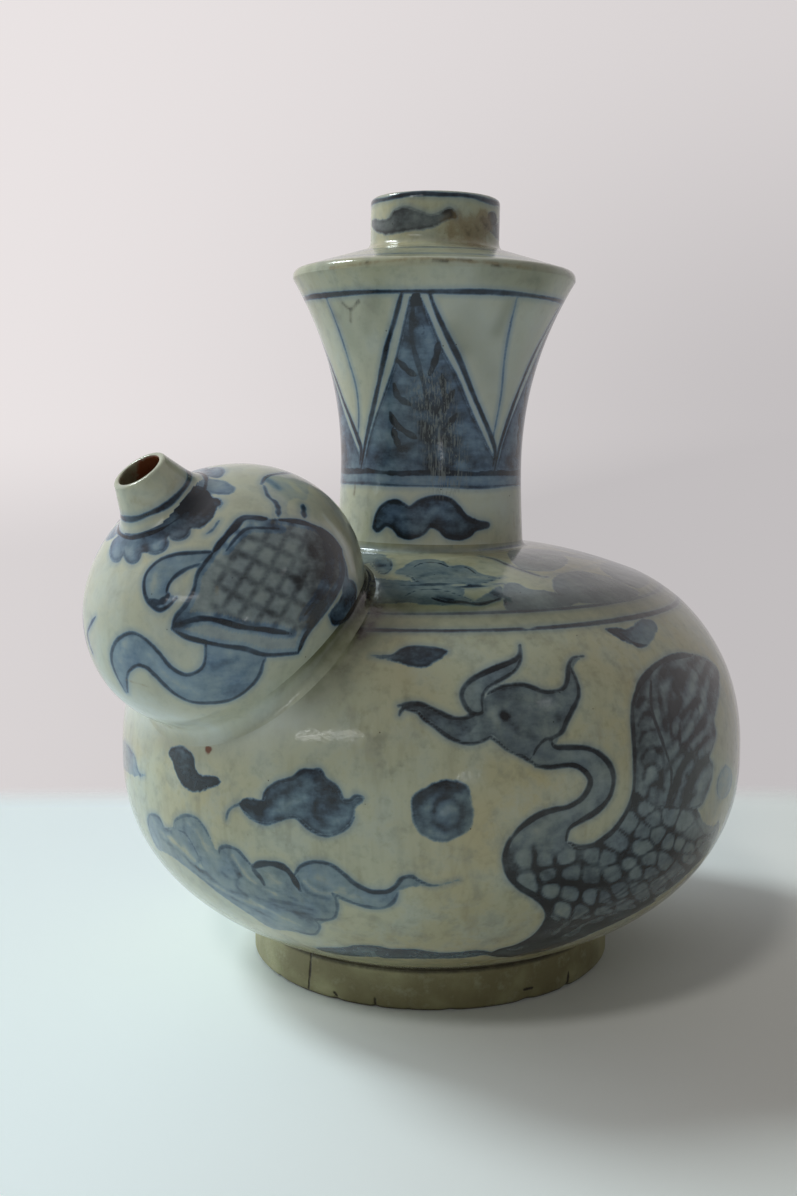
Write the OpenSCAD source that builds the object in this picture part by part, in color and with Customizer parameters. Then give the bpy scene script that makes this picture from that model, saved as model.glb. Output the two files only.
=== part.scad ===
// Kendi: a blue-and-white porcelain drinking vessel, filled through its neck and poured from a side spout.
// It stands on z = 0 with the body's axis along Z, and the spout points along -Y.
// Every piece is thrown or turned by itself, and a thin seam of slip lutes it to its neighbour.

/* [Foot] */
// Outer radius of the foot ring
foot_r = 50; // [44:0.5:56]
// Height of the foot ring, from the table to its luting seam
foot_h = 10.7; // [7:0.1:14]
// Width of the ring's standing face
foot_w = 7; // [4:0.5:10]
// Extra width of the ring at its top, on the inside
foot_draft = 2.5; // [0.5:0.5:5]
// Chamfer round the standing edge
foot_chamfer = 0.8; // [0.3:0.1:1.5]

/* [Body] */
// Widest radius, at the belly seam
belly_r = 85; // [76:0.5:94]
// Height of the belly seam's middle
belly_z = 58; // [48:0.5:66]
// Fullness of the curve below the belly, where 2 is an ellipse
lower_fullness = 2.2; // [2:0.05:2.6]
// Fullness of the curve above the belly
upper_fullness = 2.3; // [2:0.05:2.6]
// Radius of the shoulder's corner
shoulder_r = 62.5; // [54:0.5:70]
// Height of the shoulder's corner
shoulder_z = 103.4; // [96:0.1:108]
// Reach of the soft rounding on each side of that corner
shoulder_round = 5; // [4:0.5:9]
// Height of the dome's top, where the neck is luted on
dome_z = 113; // [109:0.5:120]
// Power of the dome's fall from its top to the corner, where 1 is a straight cone
dome_power = 1.6; // [1.2:0.1:2.5]
// Thickness of the body wall
body_wall = 4.5; // [3:0.25:5]
// Thickness of the body's floor
floor_wall = 5.5; // [4:0.25:8]

/* [Neck] */
// Radius of the neck where it stands on the dome
neck_base_r = 25.7; // [22:0.1:29]
// Radius of the neck at its waist
waist_r = 24.7; // [20:0.1:26]
// Height of the waist
waist_z = 134; // [126:0.5:145]
// Radius of the flange at the top of the trumpet
flange_r = 38; // [33:0.5:43]
// Height of the flange's luting seam
flange_z = 184; // [172:0.5:190]
// Power of the trumpet's curve, where 1 is a straight cone
trumpet_power = 2.2; // [1.6:0.1:3]
// Power of the neck's widening from its waist down to its base
neck_base_power = 1.5; // [1.2:0.1:2.5]
// Thickness of the neck wall
neck_wall = 4; // [3:0.25:5]
// Lean of the hand-set neck away from upright, in degrees
neck_lean = 1; // [0:0.1:2.5]
// Compass direction of that lean, in degrees from +X
neck_lean_dir = 45; // [0:5:355]

/* [Mouth] */
// Outer radius of the mouth
mouth_r = 17.3; // [15:0.1:20]
// Radius of the mouth's bore
mouth_bore_r = 14; // [11:0.1:14.5]
// Height of the mouth's lip
mouth_z = 205; // [199:0.5:212]
// Height at which the flange's sloping top would reach the mouth wall
slope_z = 192; // [190:0.5:196]
// Rounding of the flange's edge
flange_round = 2; // [1:0.1:2.5]
// Fillet between the flange's top and the mouth
mouth_fillet = 2; // [1:0.1:3]
// Rounding of the lip
lip_round = 1.2; // [0.6:0.1:1.5]
// Thickness of the flange's sloping top
flange_wall = 4; // [3:0.25:5]

/* [Spout] */
// Distance of the bulb's centre from the body's axis
bulb_out = 70; // [66:0.5:76]
// Height of the bulb's centre
bulb_z = 105; // [100:0.5:110]
// Largest radius of the bulb, across the spout's axis
bulb_r = 35; // [31:0.5:38]
// Half length of the bulb, along the spout's axis
bulb_half = 29.5; // [27:0.5:33]
// Thickness of the bulb wall
bulb_wall = 4; // [3:0.25:5]
// Rise of the spout's axis above level, in degrees
spout_rise = 53; // [42:1:60]
// Radius of the round port through the body wall behind the bulb
port_r = 9; // [6:0.5:12]
// Radius of the nozzle's foot, where it is luted to the bulb
nozzle_foot_r = 12; // [10.5:0.1:14]
// Radius of the nozzle above its flared foot
nozzle_base_r = 9.6; // [8.5:0.1:10]
// Height of that flared foot
nozzle_flare = 2.5; // [1.5:0.1:4]
// Radius of the nozzle at its tip
nozzle_tip_r = 6.8; // [6.5:0.1:8]
// Length of the nozzle
nozzle_len = 10.3; // [8:0.1:16]
// Radius of the nozzle's bore
nozzle_bore_r = 5.2; // [4:0.1:5.6]
// Rounding of the nozzle's tip
tip_round = 0.7; // [0.4:0.1:0.9]

/* [Seams] */
// Thickness of the slip that lutes the pieces together
slip = 0.6; // [0.4:0.1:1]

/* [Hidden] */
$fn = 96;
glaze = "#cfd3bf";
bare_clay = "#a9a083";
slip_clay = "#b9b79d";
curve_steps = 16;
round_steps = 6;

seat_z = foot_h + slip;              // underside of the lower body
floor_z = seat_z + floor_wall;       // floor inside the lower body
lower_top = belly_z - slip / 2;      // the two halves meet the belly seam here
upper_low = belly_z + slip / 2;
neck_bore_r = neck_base_r - neck_wall;
neck_low = dome_z + slip;            // level cut of the leaning neck
neck_spare = 3;                      // length of neck below that cut, taken off by it
flange_low = flange_z - slip / 2;
flange_high = flange_z + slip / 2;
// Height of the bulb's flat seat for the nozzle, measured from the bulb's centre
nozzle_seat = bulb_half * sqrt(1 - pow(nozzle_foot_r / bulb_r, 2));
big = 4 * belly_r;                   // larger than any cut

// Points on a quarter of a fuller or flatter ellipse, from its widest point to the height end_h.
function bulge(r, h, fullness, end_h, steps) =
    let (last = asin(pow(end_h / h, fullness / 2)))
    [for (i = [0:steps]) let (a = last * i / steps)
        [r * pow(cos(a), 2 / fullness), h * pow(sin(a), 2 / fullness)]];

// Height of such a quarter that passes through the point (at_r, at_h).
function bulge_height(r, fullness, at_r, at_h) =
    at_h / pow(1 - pow(at_r / r, fullness), 1 / fullness);

// Quadratic curve from a to c that is drawn towards b.
function bend(a, b, c, steps) =
    [for (i = [0:steps]) let (t = i / steps) pow(1 - t, 2) * a + 2 * t * (1 - t) * b + t * t * c];

// Points on an arc about a centre, from one angle to another.
function arc(centre, r, from, to, steps) =
    [for (i = [0:steps]) let (a = from + (to - from) * i / steps) centre + r * [cos(a), sin(a)]];

// Open outline moved sideways by a distance, positive to the right of its direction of travel.
function beside(points, by) =
    let (last = len(points) - 1)
    [for (i = [0:last])
        let (way = points[min(i + 1, last)] - points[max(i - 1, 0)])
        points[i] + by * [way.y, -way.x] / norm(way)];

function backwards(points) = [for (i = [len(points) - 1:-1:0]) points[i]];

// Outline of the lower half, from the foot to the belly.
lower_h = bulge_height(belly_r, lower_fullness, foot_r, lower_top - seat_z);
lower_outline = backwards([for (p = bulge(belly_r, lower_h, lower_fullness, lower_top - seat_z, curve_steps))
    [p.x, lower_top - p.y]]);

// Outline of the upper half, from the belly over the soft corner of the shoulder to the neck.
function dome_height(r) =
    dome_z - (dome_z - shoulder_z)
        * pow(max(r - neck_base_r, 0) / (shoulder_r - neck_base_r), dome_power);
upper_h = bulge_height(belly_r, upper_fullness, shoulder_r, shoulder_z - upper_low);
upper_side = [for (p = bulge(belly_r, upper_h, upper_fullness,
                             shoulder_z - shoulder_round - upper_low, curve_steps))
    [p.x, upper_low + p.y]];
dome_start = shoulder_r - shoulder_round;
upper_dome = [for (i = [0:curve_steps])
    let (r = dome_start + (neck_base_r - dome_start) * i / curve_steps) [r, dome_height(r)]];
upper_corner = bend(upper_side[curve_steps], [shoulder_r, shoulder_z], upper_dome[0], round_steps);
upper_outline = concat(upper_side, [for (i = [1:round_steps - 1]) upper_corner[i]], upper_dome);

lower_inside = beside(lower_outline, -body_wall);
upper_inside = beside(upper_outline, -body_wall);
floor_r = lookup(floor_z, [for (p = lower_inside) [p.y, p.x]]);

// Outline of the neck, from below its cut to the flange.
function neck_r(z) = z < waist_z
    ? waist_r + (neck_base_r - waist_r) * pow((waist_z - z) / (waist_z - dome_z), neck_base_power)
    : waist_r + (flange_r - waist_r) * pow((z - waist_z) / (flange_low - waist_z), trumpet_power);
neck_outline = [for (i = [0:2 * curve_steps])
    let (z = dome_z - neck_spare + (flange_low - dome_z + neck_spare) * i / (2 * curve_steps))
    [neck_r(z), z]];
neck_inside = beside(neck_outline, -neck_wall);
flange_bore_r = flange_r - neck_wall;

// Half of the bulb's outline about the spout's axis, from its body end to its nozzle end.
function bulb_outline(r, h) = [for (i = [-curve_steps:curve_steps])
    let (a = 90 * i / curve_steps) [r * cos(a), h * sin(a)]];

module foot_ring() {
    inner_r = foot_r - foot_w;
    color(bare_clay)
        rotate_extrude()
            polygon([[inner_r + foot_chamfer, 0], [foot_r - foot_chamfer, 0], [foot_r, foot_chamfer],
                     [foot_r, foot_h], [inner_r - foot_draft, foot_h], [inner_r, foot_chamfer]]);
}

module foot_seam() {
    color(slip_clay)
        translate([0, 0, foot_h])
            linear_extrude(slip)
                washer(foot_r, foot_r - foot_w - foot_draft);
}

module lower_body() {
    color(glaze)
        rotate_extrude()
            polygon(concat([[0, seat_z]], lower_outline,
                           backwards([for (p = lower_inside) if (p.y > floor_z) [p.x, min(p.y, lower_top)]]),
                           [[floor_r, floor_z], [0, floor_z]]));
}

module belly_seam() {
    color(slip_clay)
        translate([0, 0, lower_top])
            linear_extrude(slip)
                washer(belly_r, belly_r - body_wall);
}

module upper_body() {
    color(glaze)
        difference() {
            rotate_extrude()
                polygon(concat(upper_outline, [[neck_bore_r, dome_z], [neck_bore_r, dome_z - body_wall]],
                               backwards([for (p = upper_inside) [p.x, max(p.y, upper_low)]])));
            along_spout() translate([0, 0, -bulb_r]) cylinder(r = port_r, h = bulb_r);
        }
}

module neck_seam() {
    color(slip_clay)
        translate([0, 0, dome_z])
            linear_extrude(slip)
                washer(neck_base_r, neck_bore_r);
}

module neck() {
    color(glaze)
        difference() {
            leaning() rotate_extrude() polygon(concat(neck_outline, backwards(neck_inside_level())));
            translate([0, 0, neck_low - big]) cylinder(r = big, h = big);
        }
}

// The inside of the neck, brought level with the flange seam at its top.
function neck_inside_level() =
    concat([for (p = neck_inside) if (p.y < flange_low - neck_wall) p], [[flange_bore_r, flange_low]]);

module flange_seam() {
    color(slip_clay)
        leaning() translate([0, 0, flange_low]) linear_extrude(slip) washer(flange_r, flange_bore_r);
}

// The flange's sloping top, its rounded edge and the mouth are one turned piece.
module mouth() {
    edge = [flange_r - flange_round, flange_high];
    slope = atan2(slope_z - flange_high - flange_round, flange_r - flange_round - mouth_r);
    edge_arc = arc(edge, flange_round, 0, 90 - slope, round_steps);
    wall_foot = [mouth_r, slope_z];
    slope_way = [cos(slope), -sin(slope)];
    fillet = bend(wall_foot + mouth_fillet * slope_way, wall_foot, wall_foot + [0, mouth_fillet], round_steps);
    lip = arc([mouth_r - lip_round, mouth_z - lip_round], lip_round, 0, 90, round_steps);
    color(glaze)
        leaning()
            rotate_extrude()
                polygon(concat(edge_arc, fillet, lip,
                               [[mouth_bore_r, mouth_z], [mouth_bore_r, slope_z - flange_wall],
                                [flange_bore_r, flange_high]]));
}

module spout_bulb() {
    color(glaze)
        difference() {
            bulb_shell();
            body_solid(slip);
        }
}

// The slip follows the body's surface under the bulb's rim.
module bulb_seam() {
    color(slip_clay)
        difference() {
            intersection() {
                bulb_shell();
                body_solid(slip);
            }
            body_solid(0);
        }
}

module spout_nozzle() {
    waist = [nozzle_base_r, nozzle_seat + slip + nozzle_flare];
    tip_z = nozzle_seat + slip + nozzle_len;
    flare = bend([nozzle_foot_r, nozzle_seat + slip], [nozzle_base_r, nozzle_seat + slip], waist, round_steps);
    tip = arc([nozzle_tip_r - tip_round, tip_z - tip_round], tip_round, 0, 90, round_steps);
    color(glaze)
        along_spout()
            rotate_extrude()
                polygon(concat(flare, tip, [[nozzle_bore_r, tip_z], [nozzle_bore_r, nozzle_seat + slip]]));
}

module nozzle_seam() {
    color(slip_clay)
        along_spout() translate([0, 0, nozzle_seat]) linear_extrude(slip) washer(nozzle_foot_r, nozzle_bore_r);
}

// Bulb about the spout's axis: hollow, cut flat for the nozzle and drilled under it.
module bulb_shell() {
    along_spout()
        difference() {
            rotate_extrude() polygon(bulb_outline(bulb_r, bulb_half));
            rotate_extrude() polygon(bulb_outline(bulb_r - bulb_wall, bulb_half - bulb_wall));
            translate([0, 0, nozzle_seat]) cylinder(r = bulb_r, h = bulb_r);
            cylinder(r = nozzle_bore_r, h = bulb_r);
        }
}

// The upper body filled in, and grown all over by a thickness.
module body_solid(grow) {
    outline = beside(upper_outline, grow);
    rotate_extrude()
        polygon(concat([[0, upper_low], [belly_r + grow, upper_low]],
                       [for (i = [1:len(outline) - 1]) outline[i]],
                       [[0, dome_z + grow]]));
}

module washer(outer_r, inner_r) {
    difference() {
        circle(r = outer_r);
        circle(r = inner_r);
    }
}

// Frame of the neck, which leans about the middle of its seat on the dome.
module leaning() {
    translate([0, 0, dome_z])
        rotate([0, 0, neck_lean_dir])
            rotate([0, neck_lean, 0])
                rotate([0, 0, -neck_lean_dir])
                    translate([0, 0, -dome_z]) children();
}

// Frame of the spout: its origin is the bulb's centre, and its Z runs out along the nozzle.
module along_spout() {
    translate([0, -bulb_out, bulb_z])
        rotate([90 - spout_rise, 0, 0]) children();
}

foot_ring();
foot_seam();
lower_body();
belly_seam();
upper_body();
neck_seam();
neck();
flange_seam();
mouth();
spout_bulb();
bulb_seam();
spout_nozzle();
nozzle_seam();
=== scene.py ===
import math

import bpy
import numpy as np
from mathutils import Matrix, Vector


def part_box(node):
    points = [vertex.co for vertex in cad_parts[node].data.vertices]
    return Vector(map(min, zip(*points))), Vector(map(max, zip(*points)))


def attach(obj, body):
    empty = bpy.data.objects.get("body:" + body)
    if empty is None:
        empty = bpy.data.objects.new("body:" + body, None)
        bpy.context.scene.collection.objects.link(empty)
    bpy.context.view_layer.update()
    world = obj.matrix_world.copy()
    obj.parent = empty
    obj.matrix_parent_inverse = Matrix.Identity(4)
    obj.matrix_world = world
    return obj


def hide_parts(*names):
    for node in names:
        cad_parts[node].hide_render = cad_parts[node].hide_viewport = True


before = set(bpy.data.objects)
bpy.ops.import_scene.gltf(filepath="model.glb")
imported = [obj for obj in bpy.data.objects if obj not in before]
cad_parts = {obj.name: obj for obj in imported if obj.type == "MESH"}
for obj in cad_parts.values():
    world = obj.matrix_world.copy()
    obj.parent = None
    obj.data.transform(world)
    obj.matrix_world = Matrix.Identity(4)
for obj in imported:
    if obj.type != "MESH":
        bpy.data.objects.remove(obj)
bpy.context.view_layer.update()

mm = 0.001
draw = np.random.default_rng(11)


# Camera, which also carries brush points from the photo's pixels onto the pot
camera = {"image": (797, 1196), "focal": 1345.0, "eye": (0.6, -370.3, 146.3),
          "pitch": 7.45, "yaw": -1.43, "roll": -0.22, "round": 45.0, "sensor": 36.0}


def turnZ(degrees):
    c, s = math.cos(math.radians(degrees)), math.sin(math.radians(degrees))
    return np.array([[c, -s, 0], [s, c, 0], [0, 0, 1]])


def cameraAxes():
    pitch, yaw, roll = (math.radians(camera[k]) for k in ("pitch", "yaw", "roll"))
    level = math.cos(pitch)
    forward = np.array([math.sin(yaw) * level, math.cos(yaw) * level, -math.sin(pitch)])
    right = np.array([math.cos(yaw), -math.sin(yaw), 0])
    up = np.cross(right, forward)
    c, s = math.cos(roll), math.sin(roll)
    spin = turnZ(camera["round"])
    right, up = c * right + s * up, c * up - s * right
    return [spin @ way for way in (np.array(camera["eye"]), right, up, forward)]


eye, rightWay, upWay, forwardWay = cameraAxes()
middle = np.array(camera["image"]) / 2


def pixelRays(pixels):
    off = (np.asarray(pixels, float) - middle) / camera["focal"]
    ways = forwardWay + off[:, :1] * rightWay - off[:, 1:] * upWay
    return ways / np.linalg.norm(ways, axis=1)[:, None]


def toPixels(points):
    d = points - eye
    deep = d @ forwardWay
    return middle + camera["focal"] * np.column_stack([d @ rightWay, -(d @ upWay)]) / deep[:, None]


def addCamera():
    data = bpy.data.cameras.new("camera")
    data.sensor_width = camera["sensor"]
    data.lens = camera["focal"] / camera["image"][1] * camera["sensor"]
    data.clip_start = 0.01
    cam = bpy.data.objects.new("camera", data)
    turn = np.eye(4)
    turn[:3, :3] = np.column_stack([rightWay, upWay, -forwardWay])
    turn[:3, 3] = eye * mm
    cam.matrix_world = Matrix(turn.tolist())
    bpy.context.scene.collection.objects.link(cam)
    bpy.context.scene.camera = cam


# Outlines of the turned pieces, as (radius, height) in millimetres, listed upwards
def nodeBox(node):
    lo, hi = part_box(node)
    return np.array(lo) / mm, np.array(hi) / mm


lowerLo, lowerHi = nodeBox("lower_body")
upperLo, upperHi = nodeBox("upper_body")
body = {"footR": nodeBox("foot_ring")[1][0], "bellyR": lowerHi[0], "seatZ": lowerLo[2],
        "lowerTop": lowerHi[2], "upperLow": upperLo[2], "domeZ": upperHi[2], "lowerFullness": 2.2,
        "upperFullness": 2.3, "shoulderR": 62.5, "shoulderZ": 103.4, "shoulderRound": 5.0, "domePower": 1.6,
        "wall": 4.5, "floorZ": lowerLo[2] + 5.5, "floorGap": 0.5, "floorRound": 0.6, "floorRings": (3, 25),
        "holeMargin": 3, "step": 0.6, "domeStep": 1.1, "innerStep": 6, "domeInnerStep": 9, "around": 700}
neck = {"baseR": 25.7, "waistR": 24.7, "waistZ": 134.0, "flangeR": 38.0, "flangeLow": 183.7,
        "flangeHigh": 184.3, "trumpet": 2.2, "basePower": 1.5, "wall": 4.0, "lean": 1.0, "leanDir": 45.0,
        "seamZ": 0.6, "filletOut": 1.5, "filletTop": 6, "filletRows": 8, "tuckIn": 1.0, "tuckDown": 0.4,
        "step": 0.5, "innerStep": 5, "dense": 0.5, "around": 440}
mouth = {"r": 17.3, "boreR": 14.0, "top": 205.0, "slopeZ": 192.0, "edge": 2.0, "fillet": 2.0, "lip": 1.2,
         "wall": 4.0, "lipIn": 0.6, "lipDown": 0.8, "lipRows": 5, "step": 0.5, "topStep": 0.4,
         "boreStep": 1.5}
bulb = {"centre": (0, -70.0, 105.0), "rise": 53.0, "r": 35.0, "half": 29.5, "wall": 4.0, "filletLow": 3.8,
        "filletHigh": 2.6, "filletFrom": 112, "filletFade": 25, "filletRows": 12, "tuck": 0.6, "rings": 165,
        "innerRings": 14, "searchRings": 260, "lastDeg": -88, "around": 440}
nozzle = {"footR": 12.0, "baseR": 9.6, "flare": 2.5, "tipR": 6.8, "length": 10.3, "boreR": 5.2,
          "tipRound": 0.7, "slip": 0.6, "slipIn": 1.2, "filletR": 15.4, "filletUp": 3.6,
          "filletCorner": (10.9, 28.0), "lipIn": 0.5, "lipDown": 0.6, "lipRows": 5, "step": 0.4,
          "boreStep": 0.5}
foot = {"width": 7.0, "draft": 2.5, "chamfer": 0.8, "seamDip": 0.5, "step": 0.4, "underStep": 0.6,
        "bevelStep": 0.3}


def evenly(points, step):
    points = np.asarray(points, float)
    along = np.concatenate([[0], np.cumsum(np.linalg.norm(np.diff(points, axis=0), axis=1))])
    at = np.linspace(0, along[-1], max(2, int(round(along[-1] / step)) + 1))
    return np.column_stack([np.interp(at, along, points[:, i]) for i in range(points.shape[1])])


def swell(r, fullness, atR, atH, endH, count=240):   # quarter of a fuller ellipse that passes (atR, atH)
    h = atH / (1 - (atR / r) ** fullness) ** (1 / fullness)
    a = np.linspace(0, math.asin((endH / h) ** (fullness / 2)), count)
    return np.column_stack([r * np.cos(a) ** (2 / fullness), h * np.sin(a) ** (2 / fullness)])


def bend(a, b, c, count=20):
    t = np.linspace(0, 1, count)[:, None]
    return (1 - t) ** 2 * np.asarray(a) + 2 * t * (1 - t) * np.asarray(b) + t ** 2 * np.asarray(c)


def arc(centre, r, start, end, count=14):
    a = np.radians(np.linspace(start, end, count))
    return np.asarray(centre) + r * np.column_stack([np.cos(a), np.sin(a)])


def beside(points, by):
    way = np.gradient(np.asarray(points, float), axis=0)
    return points + by * np.column_stack([way[:, 1], -way[:, 0]]) / np.linalg.norm(way, axis=1)[:, None]


def lowerOutline():
    b = body
    tall = b["lowerTop"] - b["seatZ"]
    p = swell(b["bellyR"], b["lowerFullness"], b["footR"], tall, tall)
    return np.column_stack([p[:, 0], b["lowerTop"] - p[:, 1]])[::-1]


def domeHeight(r):
    b = body
    reach = np.maximum(r - neck["baseR"], 0) / (b["shoulderR"] - neck["baseR"])
    return b["domeZ"] - (b["domeZ"] - b["shoulderZ"]) * reach ** b["domePower"]


def upperOutlines():
    b = body
    tall = b["shoulderZ"] - b["upperLow"]
    side = swell(b["bellyR"], b["upperFullness"], b["shoulderR"], tall, tall - b["shoulderRound"])
    side[:, 1] += b["upperLow"]
    r = np.linspace(b["shoulderR"] - b["shoulderRound"], neck["baseR"], 80)
    dome = np.column_stack([r, domeHeight(r)])
    corner = bend(side[-1], (b["shoulderR"], b["shoulderZ"]), dome[0])
    return np.vstack([side, corner[1:]]), dome


def neckOutline():
    n = neck
    z = np.linspace(body["domeZ"] + n["seamZ"], n["flangeLow"], 300)
    low = n["waistR"] + (n["baseR"] - n["waistR"]) * (
        np.maximum(n["waistZ"] - z, 0) / (n["waistZ"] - body["domeZ"])) ** n["basePower"]
    high = (n["flangeR"] - n["waistR"]) * (
        np.maximum(z - n["waistZ"], 0) / (n["flangeLow"] - n["waistZ"])) ** n["trumpet"]
    return np.column_stack([low + high, z])


def mouthOutline():
    m, n = mouth, neck
    edge = np.array([n["flangeR"] - m["edge"], n["flangeHigh"]])
    slope = math.atan2(m["slopeZ"] - n["flangeHigh"] - m["edge"], n["flangeR"] - m["edge"] - m["r"])
    rim = arc(edge, m["edge"], 0, 90 - math.degrees(slope))
    wallFoot = np.array([m["r"], m["slopeZ"]])
    fillet = bend(wallFoot + m["fillet"] * np.array([math.cos(slope), -math.sin(slope)]), wallFoot,
                  wallFoot + (0, m["fillet"]))
    lip = arc((m["r"] - m["lip"], m["top"] - m["lip"]), m["lip"], 0, 90)
    return np.vstack([rim, fillet, lip])


def bulbOutline(r, half, fromDeg, toDeg, count=160):
    a = np.radians(np.linspace(fromDeg, toDeg, count))
    return np.column_stack([r * np.cos(a), half * np.sin(a)])


nozzleSeat = bulb["half"] * math.sqrt(1 - (nozzle["footR"] / bulb["r"]) ** 2)
nozzleDeg = math.degrees(math.acos(nozzle["footR"] / bulb["r"]))


def nozzleOutline():
    z0 = nozzleSeat + nozzle["slip"]
    tip = z0 + nozzle["length"]
    flare = bend((nozzle["footR"], z0), (nozzle["baseR"], z0), (nozzle["baseR"], z0 + nozzle["flare"]))
    end = arc((nozzle["tipR"] - nozzle["tipRound"], tip - nozzle["tipRound"]), nozzle["tipRound"], 0, 90)
    return np.vstack([flare, end])


class Axis:                       # place of a turned piece: its origin, and its axis as the last column
    def __init__(self, origin, turn):
        self.origin, self.turn = np.asarray(origin, float), np.asarray(turn, float)

    def out(self, p):
        return (p.reshape(-1, 3) @ self.turn.T + self.origin).reshape(p.shape)

    def back(self, p):
        return (p - self.origin) @ self.turn


def tilted(degrees, axis):        # turn by an angle about a level axis
    a = math.radians(degrees)
    x, y = axis
    k = np.array([[0, 0, y], [0, 0, -x], [-y, x, 0]])
    return np.eye(3) + math.sin(a) * k + (1 - math.cos(a)) * k @ k


bodyAxis = Axis((0, 0, 0), np.eye(3))
leanDir = math.radians(neck["leanDir"])
leanTurn = tilted(neck["lean"], (-math.sin(leanDir), math.cos(leanDir)))
pivot = np.array([0, 0, body["domeZ"]])
neckAxis = Axis(pivot - leanTurn @ pivot, leanTurn)
bulbAxis = Axis(bulb["centre"], tilted(90 - bulb["rise"], (1, 0)))


class Skin:                       # outer surface of a turned form, with distances to it
    batch = 8000                  # points measured at once
    reach, steps = 230.0, 45      # where rays start, in mm from the eye, and how often they step on

    def __init__(self, axis, outline, step=1.0):
        self.axis, self.outline = axis, evenly(outline, step)

    def nearest(self, points):
        q = self.axis.back(points)
        q = np.column_stack([np.hypot(q[:, 0], q[:, 1]), q[:, 2]])
        a = self.outline[:-1]
        s = self.outline[1:] - a
        gap, foot, way = np.empty(len(q)), np.empty((len(q), 2)), np.empty((len(q), 2))
        for i in range(0, len(q), self.batch):
            part = slice(i, i + self.batch)
            d = q[part, None] - a
            t = np.clip((d * s).sum(-1) / (s * s).sum(-1), 0, 1)
            off = d - t[..., None] * s
            far = (off ** 2).sum(-1)
            k = far.argmin(1)
            row = np.arange(len(k))
            side = s[k, 1] * d[row, k, 0] - s[k, 0] * d[row, k, 1]
            gap[part] = np.sqrt(far[row, k]) * np.where(side < 0, -1, 1)
            foot[part] = q[part] - off[row, k]
            way[part] = np.column_stack([s[k, 1], -s[k, 0]]) / np.linalg.norm(s[k], axis=1)[:, None]
        return gap, foot, way

    def around(self, points):
        q = self.axis.back(points)
        return np.arctan2(q[:, 1], q[:, 0])

    def at(self, flat, angle):
        ring = np.column_stack([flat[:, 0] * np.cos(angle), flat[:, 0] * np.sin(angle), flat[:, 1]])
        return self.axis.out(ring)

    def onto(self, points):
        return self.at(self.nearest(points)[1], self.around(points))

    def normals(self, points):
        way, angle = self.nearest(points)[2], self.around(points)
        ring = np.column_stack([way[:, 0] * np.cos(angle), way[:, 0] * np.sin(angle), way[:, 1]])
        return ring @ self.axis.turn.T

    def hit(self, pixels):        # points of the surface that show at these pixels
        ways = pixelRays(pixels)
        t = np.full(len(ways), self.reach)
        best, bestT = np.full(len(ways), 1e9), t.copy()
        for _ in range(self.steps):
            gap = self.nearest(eye + t[:, None] * ways)[0]
            closer = gap < best
            best, bestT = np.where(closer, gap, best), np.where(closer, t, bestT)
            t = t + np.maximum(gap, 0.0)
        return self.onto(eye + bestT[:, None] * ways)


lower = lowerOutline()
upperSide, upperDome = upperOutlines()
neckLine, mouthLine, nozzleLine = neckOutline(), mouthOutline(), nozzleOutline()
bulbLine = bulbOutline(bulb["r"], bulb["half"], -90, nozzleDeg)
bodySkin = Skin(bodyAxis, np.vstack([lower, upperSide, upperDome[1:]]))
neckSkin = Skin(neckAxis, np.vstack([neckLine, mouthLine]), 0.8)
bulbSkin = Skin(bulbAxis, np.vstack([bulbLine, nozzleLine]), 0.8)
footSkin = Skin(bodyAxis, [(body["footR"], 0), (body["footR"], body["seatZ"])])


# Meshes: each piece is a grid of rings, closed round the axis
pieces = {}
viewSide = {"gain": 0.9, "from": 0.1, "soft": 0.25, "samples": 4001}


def frontDense(count, gain=viewSide["gain"]):      # angles round the pot, closer on the side in view
    a = np.linspace(0, 2 * math.pi, viewSide["samples"])
    toEye = np.cos(a - math.radians(camera["round"] - 90))
    weight = 1 + gain * (0.5 + 0.5 * np.tanh((toEye - viewSide["from"]) / viewSide["soft"]))
    total = np.concatenate([[0], np.cumsum((weight[1:] + weight[:-1]) / 2)])
    return np.interp(np.arange(count) / count * total[-1], total, a)


uneven = {"most": 0.3, "count": 6, "lengths": (22, 50)}
waves = [(draw.normal(size=(2, 3)) / draw.uniform(*uneven["lengths"]), draw.uniform(0, 6.3, 2))
         for _ in range(uneven["count"])]


def handThrown(points):           # never quite round, and always inside the true form's box
    sway = np.mean([np.sin(points @ way.T + shift) for way, shift in waves], axis=0)
    moved = points.copy()
    moved[:, :2] = points[:, :2] * (1 - uneven["most"] / body["bellyR"]) + uneven["most"] * sway
    return moved


def addPiece(name, skin, rings, painted, sharp=(), poles=False, loop=True):
    count, around = rings.shape[:2]
    verts = rings.reshape(-1, 3)
    ring = np.arange(count * around).reshape(count, around)
    after = np.roll(ring, -1, axis=1)
    low, high = (ring, np.roll(ring, -1, axis=0)) if loop else (ring[:-1], ring[1:])
    lowAfter, highAfter = (after, np.roll(after, -1, axis=0)) if loop else (after[:-1], after[1:])
    faces = np.stack([low, lowAfter, highAfter, high], -1).reshape(-1, 4).tolist()
    if poles:
        ends = np.array([rings[0].mean(0), rings[-1].mean(0)])
        verts = np.vstack([verts, ends])
        first, last = len(verts) - 2, len(verts) - 1
        faces += np.column_stack([after[0], ring[0], np.full(around, first)]).tolist()
        faces += np.column_stack([ring[-1], after[-1], np.full(around, last)]).tolist()
    mask = np.zeros(len(verts), bool)
    mask[:count * around] = np.repeat(np.isin(np.arange(count), painted), around)
    pieces[name] = {"verts": verts, "faces": faces, "skin": skin, "painted": mask, "around": around,
                    "sharp": np.asarray(sharp, int), "size": count * around}


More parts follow.
